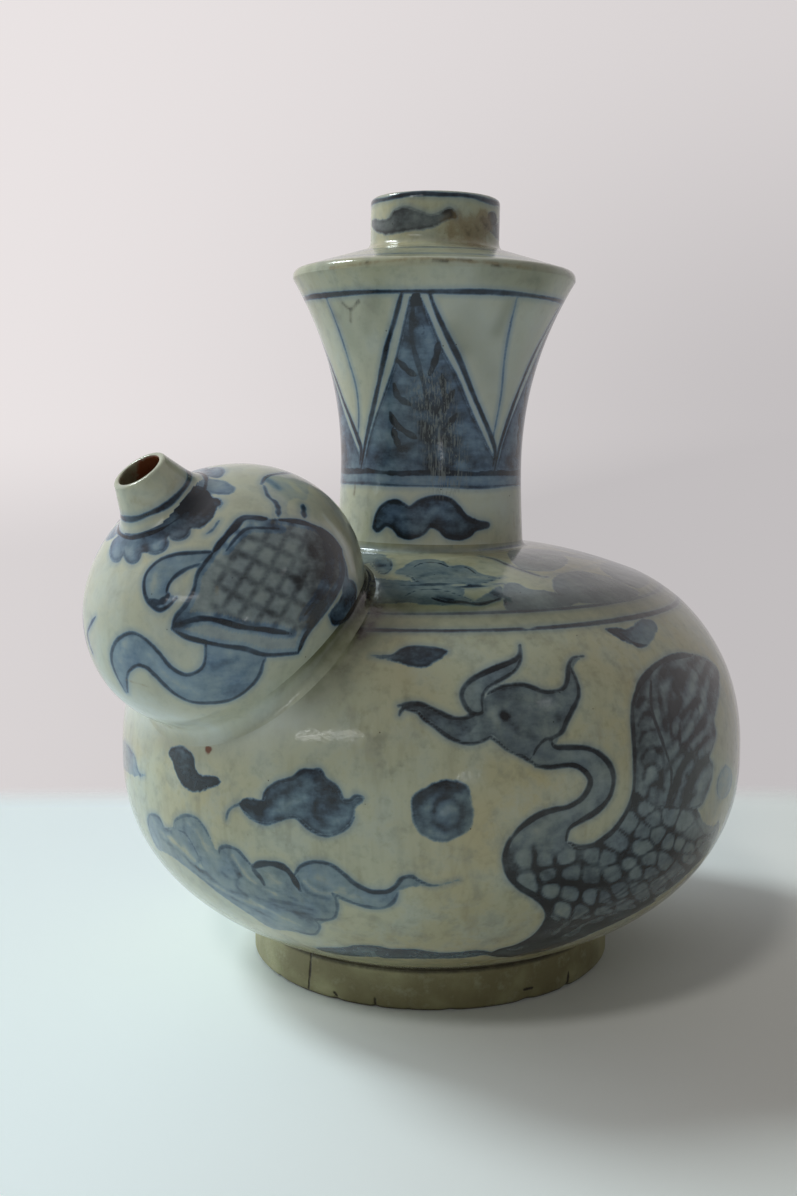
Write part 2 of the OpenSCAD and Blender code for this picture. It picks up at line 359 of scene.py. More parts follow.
def spun(flat, angles):           # rings of points round the axis, one for each (radius, height)
    flat = np.asarray(flat, float)
    return np.stack([flat[:, :1] * np.cos(angles), flat[:, :1] * np.sin(angles),
                     np.repeat(flat[:, 1:], len(angles), 1)], -1)


def slipRows(base, corner, top, count):     # rows from one ring of points to another, bent towards a third
    return np.array([(1 - t) ** 2 * base + 2 * t * (1 - t) * corner + t ** 2 * top
                     for t in np.linspace(0, 1, count)])


def turnedPiece(name, skin, stretches, angles, paintedStretch=0, poles=False):
    loop = not poles
    flat, sharp, spans = [], [], []
    for i, s in enumerate(stretches):
        s = np.asarray(s, float)
        keep = s if i == 0 else s[1:]
        start = 0 if i == 0 else len(flat) - 1
        flat.extend(keep.tolist())
        spans.append((start, len(flat) - 1))
        sharp.append(len(flat) - 1)
    if loop:                      # the last point is the first one again
        flat = flat[:-1]
        sharp[-1] = 0
    painted = range(spans[paintedStretch][0], spans[paintedStretch][1] + 1)
    rings = skin.axis.out(spun(flat, angles))
    addPiece(name, skin, rings, [p % len(flat) for p in painted], sharp, poles, loop)


def seamPiece(name, skin, r, inner, low, high, angles, dip=0.0):     # thin ring of slip between two pieces
    corners = [(r, high), (inner, high), (inner, low), (r, low)]
    face = [(r, low), (r - dip, (low + high) / 2), (r, high)]
    turnedPiece(name, skin, [face] + list(zip(corners, corners[1:])), angles)


def bodyPieces():
    b = body
    angles = frontDense(b["around"])
    r, w, z0, z1 = b["bellyR"], b["wall"], b["lowerTop"], b["upperLow"]
    outer = evenly(lower, b["step"])
    inner = beside(evenly(lower, b["innerStep"]), -w)
    inner = inner[inner[:, 1] > b["floorZ"] + b["floorGap"]]
    inner[-1] = (r - w, z0)
    floorEdge = (inner[0][0] - b["floorRound"], b["floorZ"])
    near, mid = b["floorRings"]
    under = [(near, b["seatZ"]), (mid, b["seatZ"]), (b["footR"], b["seatZ"])]
    top = [floorEdge, (mid, b["floorZ"]), (near, b["floorZ"])]
    wall = np.vstack([inner[::-1], [floorEdge]])
    turnedPiece("lowerBody", bodySkin, [under, outer, [outer[-1], inner[-1]], wall, top], angles, 1, True)
    seamPiece("bellySeam", bodySkin, r, r - w, z0, z1, angles)
    outer = np.vstack([evenly(upperSide, b["step"]), evenly(upperDome, b["domeStep"])[1:]])
    inner = beside(evenly(np.vstack([upperSide, upperDome[1:]]), b["domeInnerStep"]), -w)
    inner[0] = (r - w, z1)
    bore = neck["baseR"] - neck["wall"]
    inner = inner[inner[:, 0] > bore + b["holeMargin"]]
    hole = [outer[-1], (bore, b["domeZ"]), (bore, b["domeZ"] - w)]
    turnedPiece("upperBody", bodySkin, [outer, hole[:2], hole[1:], np.vstack([[hole[2]], inner[::-1]]),
                                        [inner[0], outer[0]]], angles)


def footPieces():
    f, b = foot, body
    angles = frontDense(b["around"])
    r, c, top = b["footR"], f["chamfer"], nodeBox("foot_ring")[1][2]
    inner = r - f["width"]
    back = inner - f["draft"]
    under = evenly([(inner + c, 0), (r - c, 0)], f["underStep"])
    bevel = evenly([(r - c, 0), (r, c)], f["bevelStep"])
    side = evenly([(r, c), (r, top)], f["step"])
    turnedPiece("footRing", footSkin, [np.vstack([under, bevel[1:], side[1:]]), [(r, top), (back, top)],
                                       [(back, top), (inner, c)], [(inner, c), under[0]]], angles)
    seamPiece("footSeam", footSkin, r, back, top, b["seatZ"], angles, f["seamDip"])


def neckPieces():
    n, m, seat = neck, mouth, body["domeZ"]
    angles = frontDense(n["around"], n["dense"])
    r, bore, z0, z1 = n["flangeR"], n["flangeR"] - n["wall"], n["flangeLow"], n["flangeHigh"]
    outer = evenly(neckLine, n["step"])
    inner = beside(evenly(neckLine, n["innerStep"]), -n["wall"])
    inner[0] = (inner[0][0], outer[0][1])
    inner = np.vstack([inner[inner[:, 1] < z0 - n["wall"]], [(bore, z0)]])
    turnedPiece("neckTube", neckSkin, [outer, [outer[-1], inner[-1]], inner[::-1], [inner[0], outer[0]]],
                angles)
    seamPiece("flangeSeam", neckSkin, r, bore, z0, z1, angles)
    outer = evenly(mouthLine, m["step"])
    tube, top, shelf = m["boreR"], m["top"], m["slopeZ"] - m["wall"]
    lip, lipZ = tube + m["lipIn"], top - m["lipDown"]
    inside = np.vstack([evenly([(outer[-1][0], top), (lip, top)], m["topStep"]),
                        bend((lip, top), (tube, top), (tube, lipZ), m["lipRows"])[1:],
                        evenly([(tube, lipZ), (tube, shelf)], m["boreStep"])[1:]])
    turnedPiece("mouthRim", neckSkin, [np.vstack([outer, inside[1:]]), [(tube, shelf), (bore, z1)],
                                       [(bore, z1), outer[0]]], angles)
    low, rows = n["baseR"] + n["filletOut"], n["filletRows"]      # slip drawn up from the dome onto the neck
    high = neckAxis.out(spun([neckLine[n["filletTop"]]], angles)[0])
    base, root, tuck = (spun([spot], angles)[0] for spot in (
        (low, domeHeight(low)), (n["baseR"], seat), (n["baseR"] - n["tuckIn"], seat - n["tuckDown"])))
    rings = np.concatenate([slipRows(base, root, high, rows), tuck[None]])
    addPiece("neckSeam", bodySkin, rings, range(rows), [0, rows - 1])


def bulbPieces():
    u, v = bulb, nozzle
    angles = np.arange(u["around"]) / u["around"] * 2 * math.pi

    def shellRings(r, half, startDeg, count):     # from the nozzle end down to where the wall meets the body
        deg = np.linspace(startDeg, u["lastDeg"], u["searchRings"])
        grid = bulbAxis.out(spun(bulbOutline(r, half, startDeg, u["lastDeg"], u["searchRings"]), angles))
        gap = bodySkin.nearest(grid.reshape(-1, 3))[0].reshape(grid.shape[:2])
        first = (gap < 0).argmax(0)
        row = np.arange(len(angles))
        g0, g1 = gap[first - 1, row], gap[first, row]
        end = deg[first - 1] + (deg[first] - deg[first - 1]) * g0 / (g0 - g1)
        a = np.radians(startDeg + (end - startDeg) * np.linspace(0, 1, count)[:, None])
        level = r * np.cos(a)
        return bulbAxis.out(np.stack([level * np.cos(angles), level * np.sin(angles), half * np.sin(a)], -1))

    outer = shellRings(u["r"], u["half"], nozzleDeg, u["rings"])
    r, half = u["r"] - u["wall"], u["half"] - u["wall"]
    inner = shellRings(r, half, math.degrees(math.acos(v["boreR"] / r)), u["innerRings"])
    seat = bulbAxis.out(spun([(v["boreR"], nozzleSeat)], angles))
    rings = np.concatenate([outer, inner[::-1], seat])
    start, end = len(rings) - u["rings"], len(rings)
    addPiece("spoutBulb", bulbSkin, rings[::-1], range(start, end), [0, end - 1, start, start - 1])

    root = outer[-1]              # fillet of slip along the saddle joint
    onBulb, onBody = bulbSkin.normals(root), bodySkin.normals(root)
    lift = np.clip((u["filletFrom"] - root[:, 2]) / u["filletFade"], 0, 1)[:, None]
    width = u["filletHigh"] + (u["filletLow"] - u["filletHigh"]) * lift ** 2 * (3 - 2 * lift)

    def away(normal, other):
        side = other - (other * normal).sum(1)[:, None] * normal
        return side / np.linalg.norm(side, axis=1)[:, None]

    top = bulbSkin.onto(root + width * away(onBulb, onBody))
    base = bodySkin.onto(root + width * away(onBody, onBulb))
    topWay = away(bulbSkin.normals(top), root - top)
    baseWay = away(bodySkin.normals(base), root - base)
    between, slant = top - base, (topWay * baseWay).sum(1)
    d, e = (topWay * between).sum(1), (baseWay * between).sum(1)
    s = ((slant * e - d) / (1 - slant ** 2))[:, None]
    t = ((e - slant * d) / (1 - slant ** 2))[:, None]
    corner = (top + s * topWay + base + t * baseWay) / 2      # where the two tangents meet
    tuck, rows = root - u["tuck"] * onBulb - u["tuck"] * onBody, u["filletRows"]
    rings = np.concatenate([slipRows(base, corner, top, rows), tuck[None]])
    addPiece("bulbSeam", bodySkin, rings, range(rows), [0, rows - 1])

    few, tube, z0 = angles[::2], v["boreR"], nozzleSeat + v["slip"]
    outside = evenly(nozzleLine, v["step"])
    low = np.array([v["filletR"], u["half"] * math.sqrt(1 - (v["filletR"] / u["r"]) ** 2)])
    highZ, inside = z0 + v["filletUp"], tube + v["slipIn"]
    high = np.array([np.interp(highZ, outside[:, 1], outside[:, 0]), highZ])
    slip = evenly(bend(low, v["filletCorner"], high), v["step"])     # drawn up from the bulb onto the nozzle
    turnedPiece("nozzleSeam", bulbSkin, [slip, [high, (inside, highZ)], [(inside, highZ), (inside, low[1])],
                                         [(inside, low[1]), low]], few)
    tip = outside[-1][1]
    lip, lipZ = tube + v["lipIn"], tip - v["lipDown"]
    bore = np.vstack([bend((lip, tip), (tube, tip), (tube, lipZ), v["lipRows"]),
                      evenly([(tube, lipZ), (tube, z0)], v["boreStep"])[1:]])
    turnedPiece("spoutNozzle", bulbSkin, [np.vstack([outside, bore]), [(tube, z0), outside[0]]], few)


bodyPieces()
footPieces()
neckPieces()
bulbPieces()
print("meshes", {k: len(p["faces"]) for k, p in pieces.items()})


# Brushwork: strokes are placed on the pot by the pixels where they show, then kept as depths in millimetres
def smoothPath(pixels, closed=False, step=1.2):
    p = np.asarray(pixels, float)
    if closed:
        q = np.vstack([p[-1:], p, p[:2]])
    else:
        q = np.vstack([2 * p[:1] - p[1:2], p, 2 * p[-1:] - p[-2:-1]])
    path = []
    for a, b, c, d in zip(q, q[1:], q[2:], q[3:]):
        count = max(2, int(np.linalg.norm(c - b) / step))
        t = (np.arange(count) / count)[:, None]
        path.append(b + 0.5 * t * (c - a + t * (2 * a - 5 * b + 4 * c - d + t * (3 * (b - c) + d - a))))
    return np.vstack(path + ([] if closed else [p[-1:]]))


def insideOf(pixels, path):
    x, y = pixels[:, :1], pixels[:, 1:]
    a, b = path, np.roll(path, -1, axis=0)
    crosses = (a[:, 1] > y) != (b[:, 1] > y)
    rise = np.where(b[:, 1] == a[:, 1], 1e-9, b[:, 1] - a[:, 1])
    return ((crosses & (x < (b[:, 0] - a[:, 0]) * (y - a[:, 1]) / rise + a[:, 0])).sum(1) % 2).astype(bool)


def fade(x, low, high):
    t = np.clip((x - low) / (high - low), 0, 1)
    return t * t * (3 - 2 * t)


farTurn = -25                     # the far side's motif on the bulb sits this much further round
here = [np.eye(3)]
bothSides = [np.eye(3), turnZ(180)]
fourRound = [turnZ(a) for a in (0, 90, 180, 270)]
threeRound = [turnZ(a) for a in (0, 120, 240)]
behind = [turnZ(88), turnZ(268)]      # where the tail plumes lie
mirrored = [np.eye(3), turnZ(farTurn) @ np.diag([-1.0, 1, 1])]


class Canvas:                     # the painted faces of some pieces, with what the brush left on them
    bare = -6.0                   # depth far from any stroke
    start = {"ink": bare, "wash": bare, "inkTone": 0.9, "washTone": 0.0, "stain": 0.0, "pool": 0.0,
             "scratch": 0.0, "grey": 0.0, "film": 0.0, "iron": 0.0, "soot": 0.0}
    batch = 6000                  # points measured at once
    taper, tremble = 0.22, 0.15   # share of a line over which its ends thin, and how much its width wanders
    merge, tinge = -0.3, -0.8     # depths from which strokes run together, and bring their grey

    def __init__(self, skin, names):
        self.skin, self.names = skin, names
        self.points = np.vstack([pieces[n]["verts"][pieces[n]["painted"]] for n in names])
        self.normals = skin.normals(self.points)
        self.marks = {mark: np.full(len(self.points), value) for mark, value in self.start.items()}
        self.grey = 0.2           # how grey the cobalt on the brush is

    def close(self, points, margin):
        return np.flatnonzero(np.all((self.points > points.min(0) - margin)
                                     & (self.points < points.max(0) + margin), axis=1))

    def depth(self, near, points, half):
        deep = np.empty(len(near))
        for i in range(0, len(near), self.batch):
            part = slice(i, i + self.batch)
            v = self.points[near[part]]
            far = (v ** 2).sum(1)[:, None] + (points ** 2).sum(1) - 2 * v @ points.T
            deep[part] = (half - np.sqrt(np.maximum(far, 0))).max(1)
        return deep

    def copied(self, points, copy):
        return self.skin.axis.out(self.skin.axis.back(points) @ copy.T)

    def line(self, pixels, width, tone=0.9, ends=0.5, copies=here):
        path = self.skin.hit(smoothPath(pixels))
        u = np.linspace(0, 1, len(path))
        thin = np.clip(1 - np.minimum(u, 1 - u) / self.taper, 0, 1) ** 2
        half = width / 2 * (1 - (1 - ends) * thin)
        half *= 1 + self.tremble * np.sin(u * draw.uniform(8, 20) + draw.uniform(0, 6))
        for copy in copies:
            moved = self.copied(path, copy)
            near = self.close(moved, 3)
            self.inked(near, self.depth(near, moved, half), tone)

    def inked(self, near, deep, tone):
        ink, inkTone = self.marks["ink"], self.marks["inkTone"]
        both = (deep > self.merge) & (ink[near] > self.merge)
        upper = np.where(deep > ink[near], tone, inkTone[near])
        inkTone[near] = np.where(both, np.maximum(inkTone[near], tone), upper)
        ink[near] = np.maximum(ink[near], deep)
        self.marks["grey"][near[deep > self.tinge]] = self.grey

    def seen(self, near, copy):   # where points show for one copy of a motif, and whether they face the eye
        spots, turn = self.copied(self.points[near], copy.T), self.skin.axis.turn
        normals = self.normals[near] @ turn @ copy @ turn.T
        return toPixels(spots), ((eye - spots) * normals).sum(1) > 0

    def area(self, pixels, tone, copies=here, shade=None, over=False):
        path = smoothPath(pixels, True)
        edge = self.skin.hit(path)
        for copy in copies:
            moved = self.copied(edge, copy)
            near = self.close(moved, 7)
            flat, facing = self.seen(near, copy)
            gap = self.depth(near, moved, 0.0)
            deep = np.where(insideOf(flat, path) & facing, -gap, gap)
            tones = np.full(len(near), tone) if shade is None else tone * shade(flat)
            self.washed(near, deep, tones, over)

    def washed(self, near, deep, tones, over=False):
        wash, washTone = self.marks["wash"], self.marks["washTone"]
        wins = (deep > 0) if over else (deep > wash[near])
        washTone[near[wins]] = tones[wins]
        self.marks["grey"][near[wins & (deep > self.tinge)]] = self.grey
        wash[near] = np.maximum(wash[near], deep)

    def sweep(self, pixels, size, amount, copies=here, mark="washTone"):     # soft stroke over what is there
        path = self.skin.hit(smoothPath(pixels, step=2.0) if len(pixels) > 1 else pixels)
        for copy in copies:
            moved = self.copied(path, copy)
            near = self.close(moved, 2.2 * size)
            self.marks[mark][near] += amount * np.exp(-(self.depth(near, moved, 0.0) / size) ** 2)

    def ring(self, pixel, width, tone, wave=0.15, part=None):      # line all the way round, through a pixel
        self.ringAt(self.skin.nearest(self.skin.hit([pixel]))[1][0], width, tone, wave, part)

    def ringAt(self, place, width, tone, wave=0.15, part=None):    # the same, at a radius and height
        r, z = place
        q = self.skin.axis.back(self.points)
        near = np.flatnonzero(np.hypot(np.hypot(q[:, 0], q[:, 1]) - r, q[:, 2] - z) < 4)
        q = q[near]
        a = np.arctan2(q[:, 1], q[:, 0])
        shift = draw.uniform(0, 6, 3)
        wander = wave * (np.sin(3 * a + shift[0]) + 0.6 * np.sin(7 * a + shift[1]))
        far = np.hypot(np.hypot(q[:, 0], q[:, 1]) - r, q[:, 2] - z + wander)
        deep = width / 2 * (1 + 0.25 * np.sin(5 * a + shift[2])) - far
        self.inked(near, deep if part is None else np.minimum(deep, part(near)), tone)

    def band(self, highPixel, lowPixel, tone):               # wash all the way round, between two heights
        ends = self.skin.nearest(self.skin.hit([highPixel, lowPixel]))[1][:, 1]
        z = self.skin.axis.back(self.points)[:, 2]
        near = np.flatnonzero((z < ends[0] + 6) & (z > ends[1] - 6))
        deep = np.minimum(ends[0] - z[near], z[near] - ends[1])
        self.washed(near, deep, np.full(len(near), tone))

    def finish(self):
        start = 0
        for name in self.names:
            piece = pieces[name]
            count = int(piece["painted"].sum())
            for mark, values in self.marks.items():
                full = np.full(len(piece["verts"]), min(self.start[mark], 0.0))
                full[piece["painted"]] = values[start:start + count]
                piece.setdefault("marks", {})[mark] = full
            start += count


def paint(canvas, strokes, copies=here):    # name: (width, tone, pixels)
    for width, tone, pixels in strokes.values():
        canvas.line(pixels, width, tone, copies=copies)


def wipe(canvas, strokes, copies=here, mark="washTone"):    # (size, amount, pixels)
    for size, amount, pixels in strokes:
        canvas.sweep(pixels, size, amount, copies, mark)


def layWearAndShade(canvas, wornAndShaded):           # wear, dirt and painted shade, as {mark: strokes}
    for mark, strokes in wornAndShaded.items():
        wipe(canvas, strokes, mark=mark)


scales = {"left": 540, "right": 690, "border": (3.5, 1.5), "radius": (0.56, 0.78), "dark": 0.95, "pale": 0.9,
          "neckSide": 575, "neckEnd": (842, 866), "neckTone": 0.44}
feathers = {"middle": (640, 655), "ways": (0.33, 0.2), "far": (655, 682), "edge": (640, 715)}


def scaleCells(cells):            # overlapping scales: round cells, with borders that thin out to the right
    cells, c = np.array(cells, float), scales
    apart = np.sort(np.sqrt(((cells[:, None, :2] - cells[:, :2]) ** 2).sum(-1)), axis=1)[:, 1]

    def shade(flat):
        x, y = flat.T
        far = np.sqrt(((flat[:, None] - cells[:, :2]) ** 2).sum(-1))
        three = np.partition(far, 2, axis=1)
        rim = 1 / (1 / (three[:, 1] - three[:, 0] + 1e-3) + 0.7 / (three[:, 2] - three[:, 0] + 1e-3))
        border, radius = (np.interp(x, [c["left"], c["right"]], c[k]) for k in ("border", "radius"))
        own = far.argmin(1)
        inner = fade(rim, 0.15 * border, 1.4 * border) * fade(radius * apart[own] - three[:, 0], -2.2, 1.6)
        tone = c["dark"] + (c["pale"] * cells[own, 2] - c["dark"]) * inner
        merged = np.where(x < c["neckSide"], fade(y, *c["neckEnd"]), 1)     # the neck runs into the breast
        return c["neckTone"] + (tone - c["neckTone"]) * merged
    return shade


def feathered(flat):              # wavy dark streaks over the wing, closer on the far side
    (x, y), f = flat.T, feathers
    slope = f["ways"][0] * (x - f["middle"][0]) + f["ways"][1] * (y - f["middle"][1])
    wave = np.sin(slope + 2.2 * np.sin(y / 17) + 1.3 * np.sin(x / 9 + y / 31))
    far = fade(x, *f["far"])
    edge = 1.18 + 0.08 * fade(x, *f["edge"])
    return edge * (1 + (0.2 + 0.14 * far) * wave) + 0.24 * far * fade(wave, 0.5, 1.0)


def across(start, end, low, high):          # tone that changes from one pixel to another
    start, end = np.array(start, float), np.array(end, float)
    way = (end - start) / ((end - start) ** 2).sum()
    return lambda flat: low + (high - low) * fade((flat - start) @ way, 0, 1)


phoenix = {
    "crest": [(520, 645), (520, 653.5), (516.5, 659), (508, 663.6), (494, 669), (479, 676), (468, 683),
        (462, 692.5), (463.4, 702), (469.4, 711), (476, 714), (483, 713), (482, 703), (483, 694),
        (488, 687), (500, 680), (514, 671), (520.5, 660)],
    "head": [(398, 706), (410, 704), (421, 704.6), (430, 708), (440, 713), (451, 718), (461, 719),
        (471, 717), (477.5, 713), (483, 713), (483, 700), (488, 694), (498, 689), (508, 686), (522, 685),
        (533, 688), (543, 692), (554, 692), (564, 688.5), (568, 680), (569, 667), (572, 660), (576, 657.5),
        (584, 656), (576, 663), (574, 671), (576, 679), (579, 690), (578, 699), (573, 709), (570, 715),
        (566, 723), (562, 731.5), (558, 742), (548, 752), (538, 757), (522, 756), (508, 750), (498, 742),
        (492, 736), (481.5, 741), (469, 743.6), (455, 740), (444, 733.5), (434, 726), (424, 719),
        (417, 712), (403.5, 708.6)],
    "neck": [(530, 742), (548, 736), (553, 745), (558, 747.7), (572, 747.7), (588, 749), (601, 755),
        (610, 765), (614, 777), (612, 792), (605, 804), (594.6, 813), (580, 821.5), (570, 828), (567, 835),
        (566, 841), (550, 844), (530, 846), (509, 846), (511, 840.5), (519, 830), (530, 821), (542, 814),
        (555.5, 810), (569, 807), (581, 800), (588, 791), (591, 781), (586.5, 772.6), (578, 766.5),
        (568, 765), (551.5, 767), (538, 767), (526, 757)],
    "breast": [(514.6, 842), (507, 850), (505, 861.5), (509.5, 876), (521, 888), (535, 896), (545, 904.6),
        (549, 916), (562, 921), (590, 918), (620, 911), (640, 907), (657, 897), (676, 884), (695, 867),
        (708, 853), (718, 837), (720, 822), (714, 826), (705, 822), (697, 808), (679, 808), (655, 806),
        (634.6, 790), (631.5, 802), (625, 816), (615, 830), (603, 840), (592.6, 846), (578, 847),
        (569, 843), (566, 833), (550, 828), (530, 830), (518, 835)],
    "wing": [(634.6, 790), (635.6, 771), (635.6, 755), (634.6, 736), (633.6, 718), (634.6, 701.5),
        (638.7, 687), (648, 675), (660, 663.6), (674.6, 657), (693, 655), (707, 659.5), (718, 669),
        (720, 681), (719, 697), (717, 708), (714.6, 720), (717, 734), (713.6, 747), (710.5, 757),
        (713.6, 765), (712.6, 779.5), (708.5, 792), (703, 804), (695, 809), (679, 810), (655, 808)],
    "tail": [(545, 904.6), (548.5, 915), (543, 927), (533, 937), (517, 945.6), (500, 950), (488, 955),
        (512, 957), (545, 951), (575, 941), (600, 930), (622, 920), (645, 908), (655, 900), (620, 906),
        (570, 911)]}
phoenix["beak"] = phoenix["head"][:8] + [
    (477, 722), (470, 733), (455, 737), (444, 732), (434, 725), (424, 718), (417, 711), (403.5, 708.6)]
phoenixLines = {
    "beakTop": (1.1, 0.97, phoenix["head"][:9]),
    "beakLow": (1.0, 0.95, [(399, 715)] + phoenix["head"][:-10:-1]),
    "throat": (0.9, 0.85, [(490, 737), (498, 742), (508, 750), (522, 756), (530, 761), (540, 767)]),
    "crestOuter": (1.35, 0.92, phoenix["crest"][:12]),
    "crestInner": (0.95, 0.85, phoenix["crest"][11:] + [(520.5, 648)]),
    "headTop": (1.15, 0.9, phoenix["head"][11:24]),
    "rearCrest": (1.15, 0.9, [(571, 667)] + phoenix["head"][26:33] + [(554, 737.6), (545, 740), (537, 748),
        (533, 756)]),
    "neckOuter": (1.4, 0.95, [(550, 739)] + phoenix["neck"][2:16]),
    "neckInner": (1.4, 0.95, [(536, 766)] + phoenix["neck"][-3:-16:-1] + [(507, 850)]),
    "wingFront": (1.35, 0.93, phoenix["breast"][-5:-12:-1] + phoenix["wing"][:7]),
    "wingShoulder": (1.6, 0.98, [(636, 698), (640, 686), (648, 675), (658, 665), (670, 658.5),
        (684, 655.5), (694, 655.5)]),
    "wingTop": (0.8, 0.6, phoenix["wing"][9:25]),
    "ridge": (1.3, 0.98, [(652, 681), (652, 701.5), (655, 718), (661, 735), (668, 755), (672, 768)]),
    "ridgeLow": (1.2, 0.95, [(671, 763), (672.6, 775), (671.5, 790), (667, 806)]),
    "wingBase": (1.0, 0.9, [(655, 807), (668, 807), (684, 809), (698, 807), (703, 803)]),
    "breastLine": (1.6, 0.95, [(511, 838), (507, 848)] + phoenix["breast"][2:6] + phoenix["tail"][:6] +
        [(490, 954)]),
    "bellyLine": (0.9, 0.75, phoenix["breast"][9:16])}
wingStrokes = [                   # size, darkening, pixels
    (1.4, 0.41, [(664, 674), (677, 672), (688, 674)]), (1.1, 0.41, [(670, 700), (672, 690), (680, 683)]),
    (0.8, 0.74, [(683, 718), (690, 708), (701, 700)]), (1.1, 0.47, [(692, 738), (700, 731), (706, 722)]),
    (0.4, 0.68, [(681, 725), (681, 745)]), (0.5, 0.61, [(671, 705), (672, 722), (673, 736), (681, 739)]),
    (1.0, 0.61, [(684, 747), (688, 756), (684, 764), (680, 772), (680, 784)]),
    (0.7, 0.61, [(695, 780), (700, 771), (703, 764)]), (0.8, 0.41, [(690, 800), (697, 793)]),
    (0.7, 0.54, [(640, 742), (646, 732), (655, 730)]),
    (0.6, 0.47, [(642, 760), (648, 750), (655, 748), (660, 752)]),
    (0.6, 0.54, [(644, 778), (648, 767), (655, 765), (661, 772), (663, 782)]),
    (0.6, 0.47, [(648, 797), (652, 786), (659, 784), (665, 790)]),
    (0.6, 0.47, [(639, 724), (646, 714), (653, 716)]), (0.6, 0.41, [(638, 706), (645, 699), (652, 702)]),
    (0.8, 0.41, [(660, 690), (664, 712), (668, 730)]), (1.4, -0.2, [(684, 695), (690, 690), (704, 692)]),
    (1.6, -0.15, [(690, 722), (696, 715), (708, 708)]), (1.3, -0.18, [(672, 748), (678, 742)]),
    (1.4, -0.18, [(700, 790), (706, 775)]), (0.8, -0.22, [(656, 696)]),
    (1.0, -0.15, [(652, 776), (650, 758)]), (1.0, -0.15, [(642, 792), (641, 770)]),
    (0.9, -0.15, [(655, 796)]), (0.5, 0.4, [(676, 690), (682, 700), (678, 712)]),
    (0.5, 0.35, [(694, 700), (700, 712), (696, 722)]), (0.5, 0.4, [(704, 742), (698, 752), (700, 764)]),
    (0.6, 0.4, [(688, 776), (694, 786), (690, 798)]), (0.5, 0.35, [(676, 780), (678, 792), (674, 802)]),
    (0.5, 0.35, [(660, 744), (664, 756), (664, 770)]), (0.6, 0.35, [(706, 670), (712, 680), (710, 694)]),
    (0.6, 0.35, [(690, 664), (698, 672), (704, 684)]), (0.5, 0.3, [(660, 700), (662, 714), (666, 726)]),
    (0.6, 0.35, [(690, 746), (696, 760)])]
breastCells = [                   # pixel of the middle, tone
    (525.6, 857.5, 0.46), (544, 861, 0.52), (560, 843, 0.20), (566, 857.5, 0.36), (572, 873, 0.62),
    (528, 884, 0.44), (551, 890, 0.40), (570, 894, 0.40), (591, 897, 0.38), (564, 910, 0.30),
    (555, 925, 0.54), (581, 913, 0.56), (547.5, 875, 0.42), (593, 856, 0.58), (607, 859, 0.52),
    (612, 873, 0.52), (591, 875, 0.62), (630, 864.5, 0.40), (636, 872.5, 0.44), (644, 847, 0.38),
    (651.6, 860, 0.44), (664, 862, 0.44), (647, 809.5, 0.42), (630, 823.5, 0.46), (616, 841, 0.52),
    (644, 832, 0.52), (658.6, 835, 0.40), (670, 842, 0.38), (680.5, 845, 0.40), (672, 816.5, 0.46),
    (685, 821.5, 0.42), (653.5, 819, 0.52), (689, 849, 0.44), (696, 833, 0.56), (690, 858, 0.52),
    (677, 873, 0.56), (660, 885, 0.56), (640, 890, 0.56), (620, 892, 0.52), (605, 899, 0.56),
    (652, 873, 0.52), (705, 845, 0.48), (604, 912, 0.56), (626, 906, 0.58), (708, 826, 0.46)]
breastStrokes = [
    (0.45, 0.3, [(585, 914), (612, 900), (640, 884), (664, 872)]),
    (0.45, 0.3, [(602, 913), (630, 899), (660, 880)]), (0.4, 0.25, [(625, 908), (655, 893), (685, 868)]),
    (0.4, 0.3, [(596, 906), (618, 893), (634, 880)]), (0.5, -0.2, [(612, 906), (640, 892), (668, 875)]),
    (0.45, 0.3, [(690, 860), (705, 842)]), (0.6, 0.45, [(533.5, 847), (534.5, 868)]),
    (1.2, 0.35, [(570, 884), (590, 886), (606, 882)]), (1.2, 0.35, [(540, 868), (556, 881)])]
tailStrokes = [
    (0.6, 0.3, [(640, 909), (600, 916), (560, 936), (520, 951)]),
    (0.6, 0.3, [(600, 908), (575, 922), (550, 940)]), (0.6, 0.3, [(630, 916), (595, 930), (560, 944)]),
    (0.7, -0.25, [(622, 911), (590, 922), (565, 936)]), (0.7, -0.2, [(585, 913), (570, 921), (556, 932)])]
headStrokes = [
    (1.0, 0.6, [(504, 716.5)]), (0.7, 0.45, [(507, 717), (503, 714)]),
    (1.1, -0.25, [(493, 712), (496, 720)]), (1.6, 0.2, [(500, 694), (512, 692)]), (1.4, 0.18, [(520, 697)]),
    (0.8, 0.2, [(512, 726), (524, 735), (536, 738)]), (1.5, -0.14, [(545, 712), (556, 704)]),
    (1.2, 0.14, [(560, 716), (552, 728)]),
    (1.3, -0.12, [(560, 757), (585, 757), (600, 770), (601, 785), (590, 802), (560, 818), (535, 832)]),
    (1.3, 0.12, [(566, 770), (580, 778), (578, 792)])]

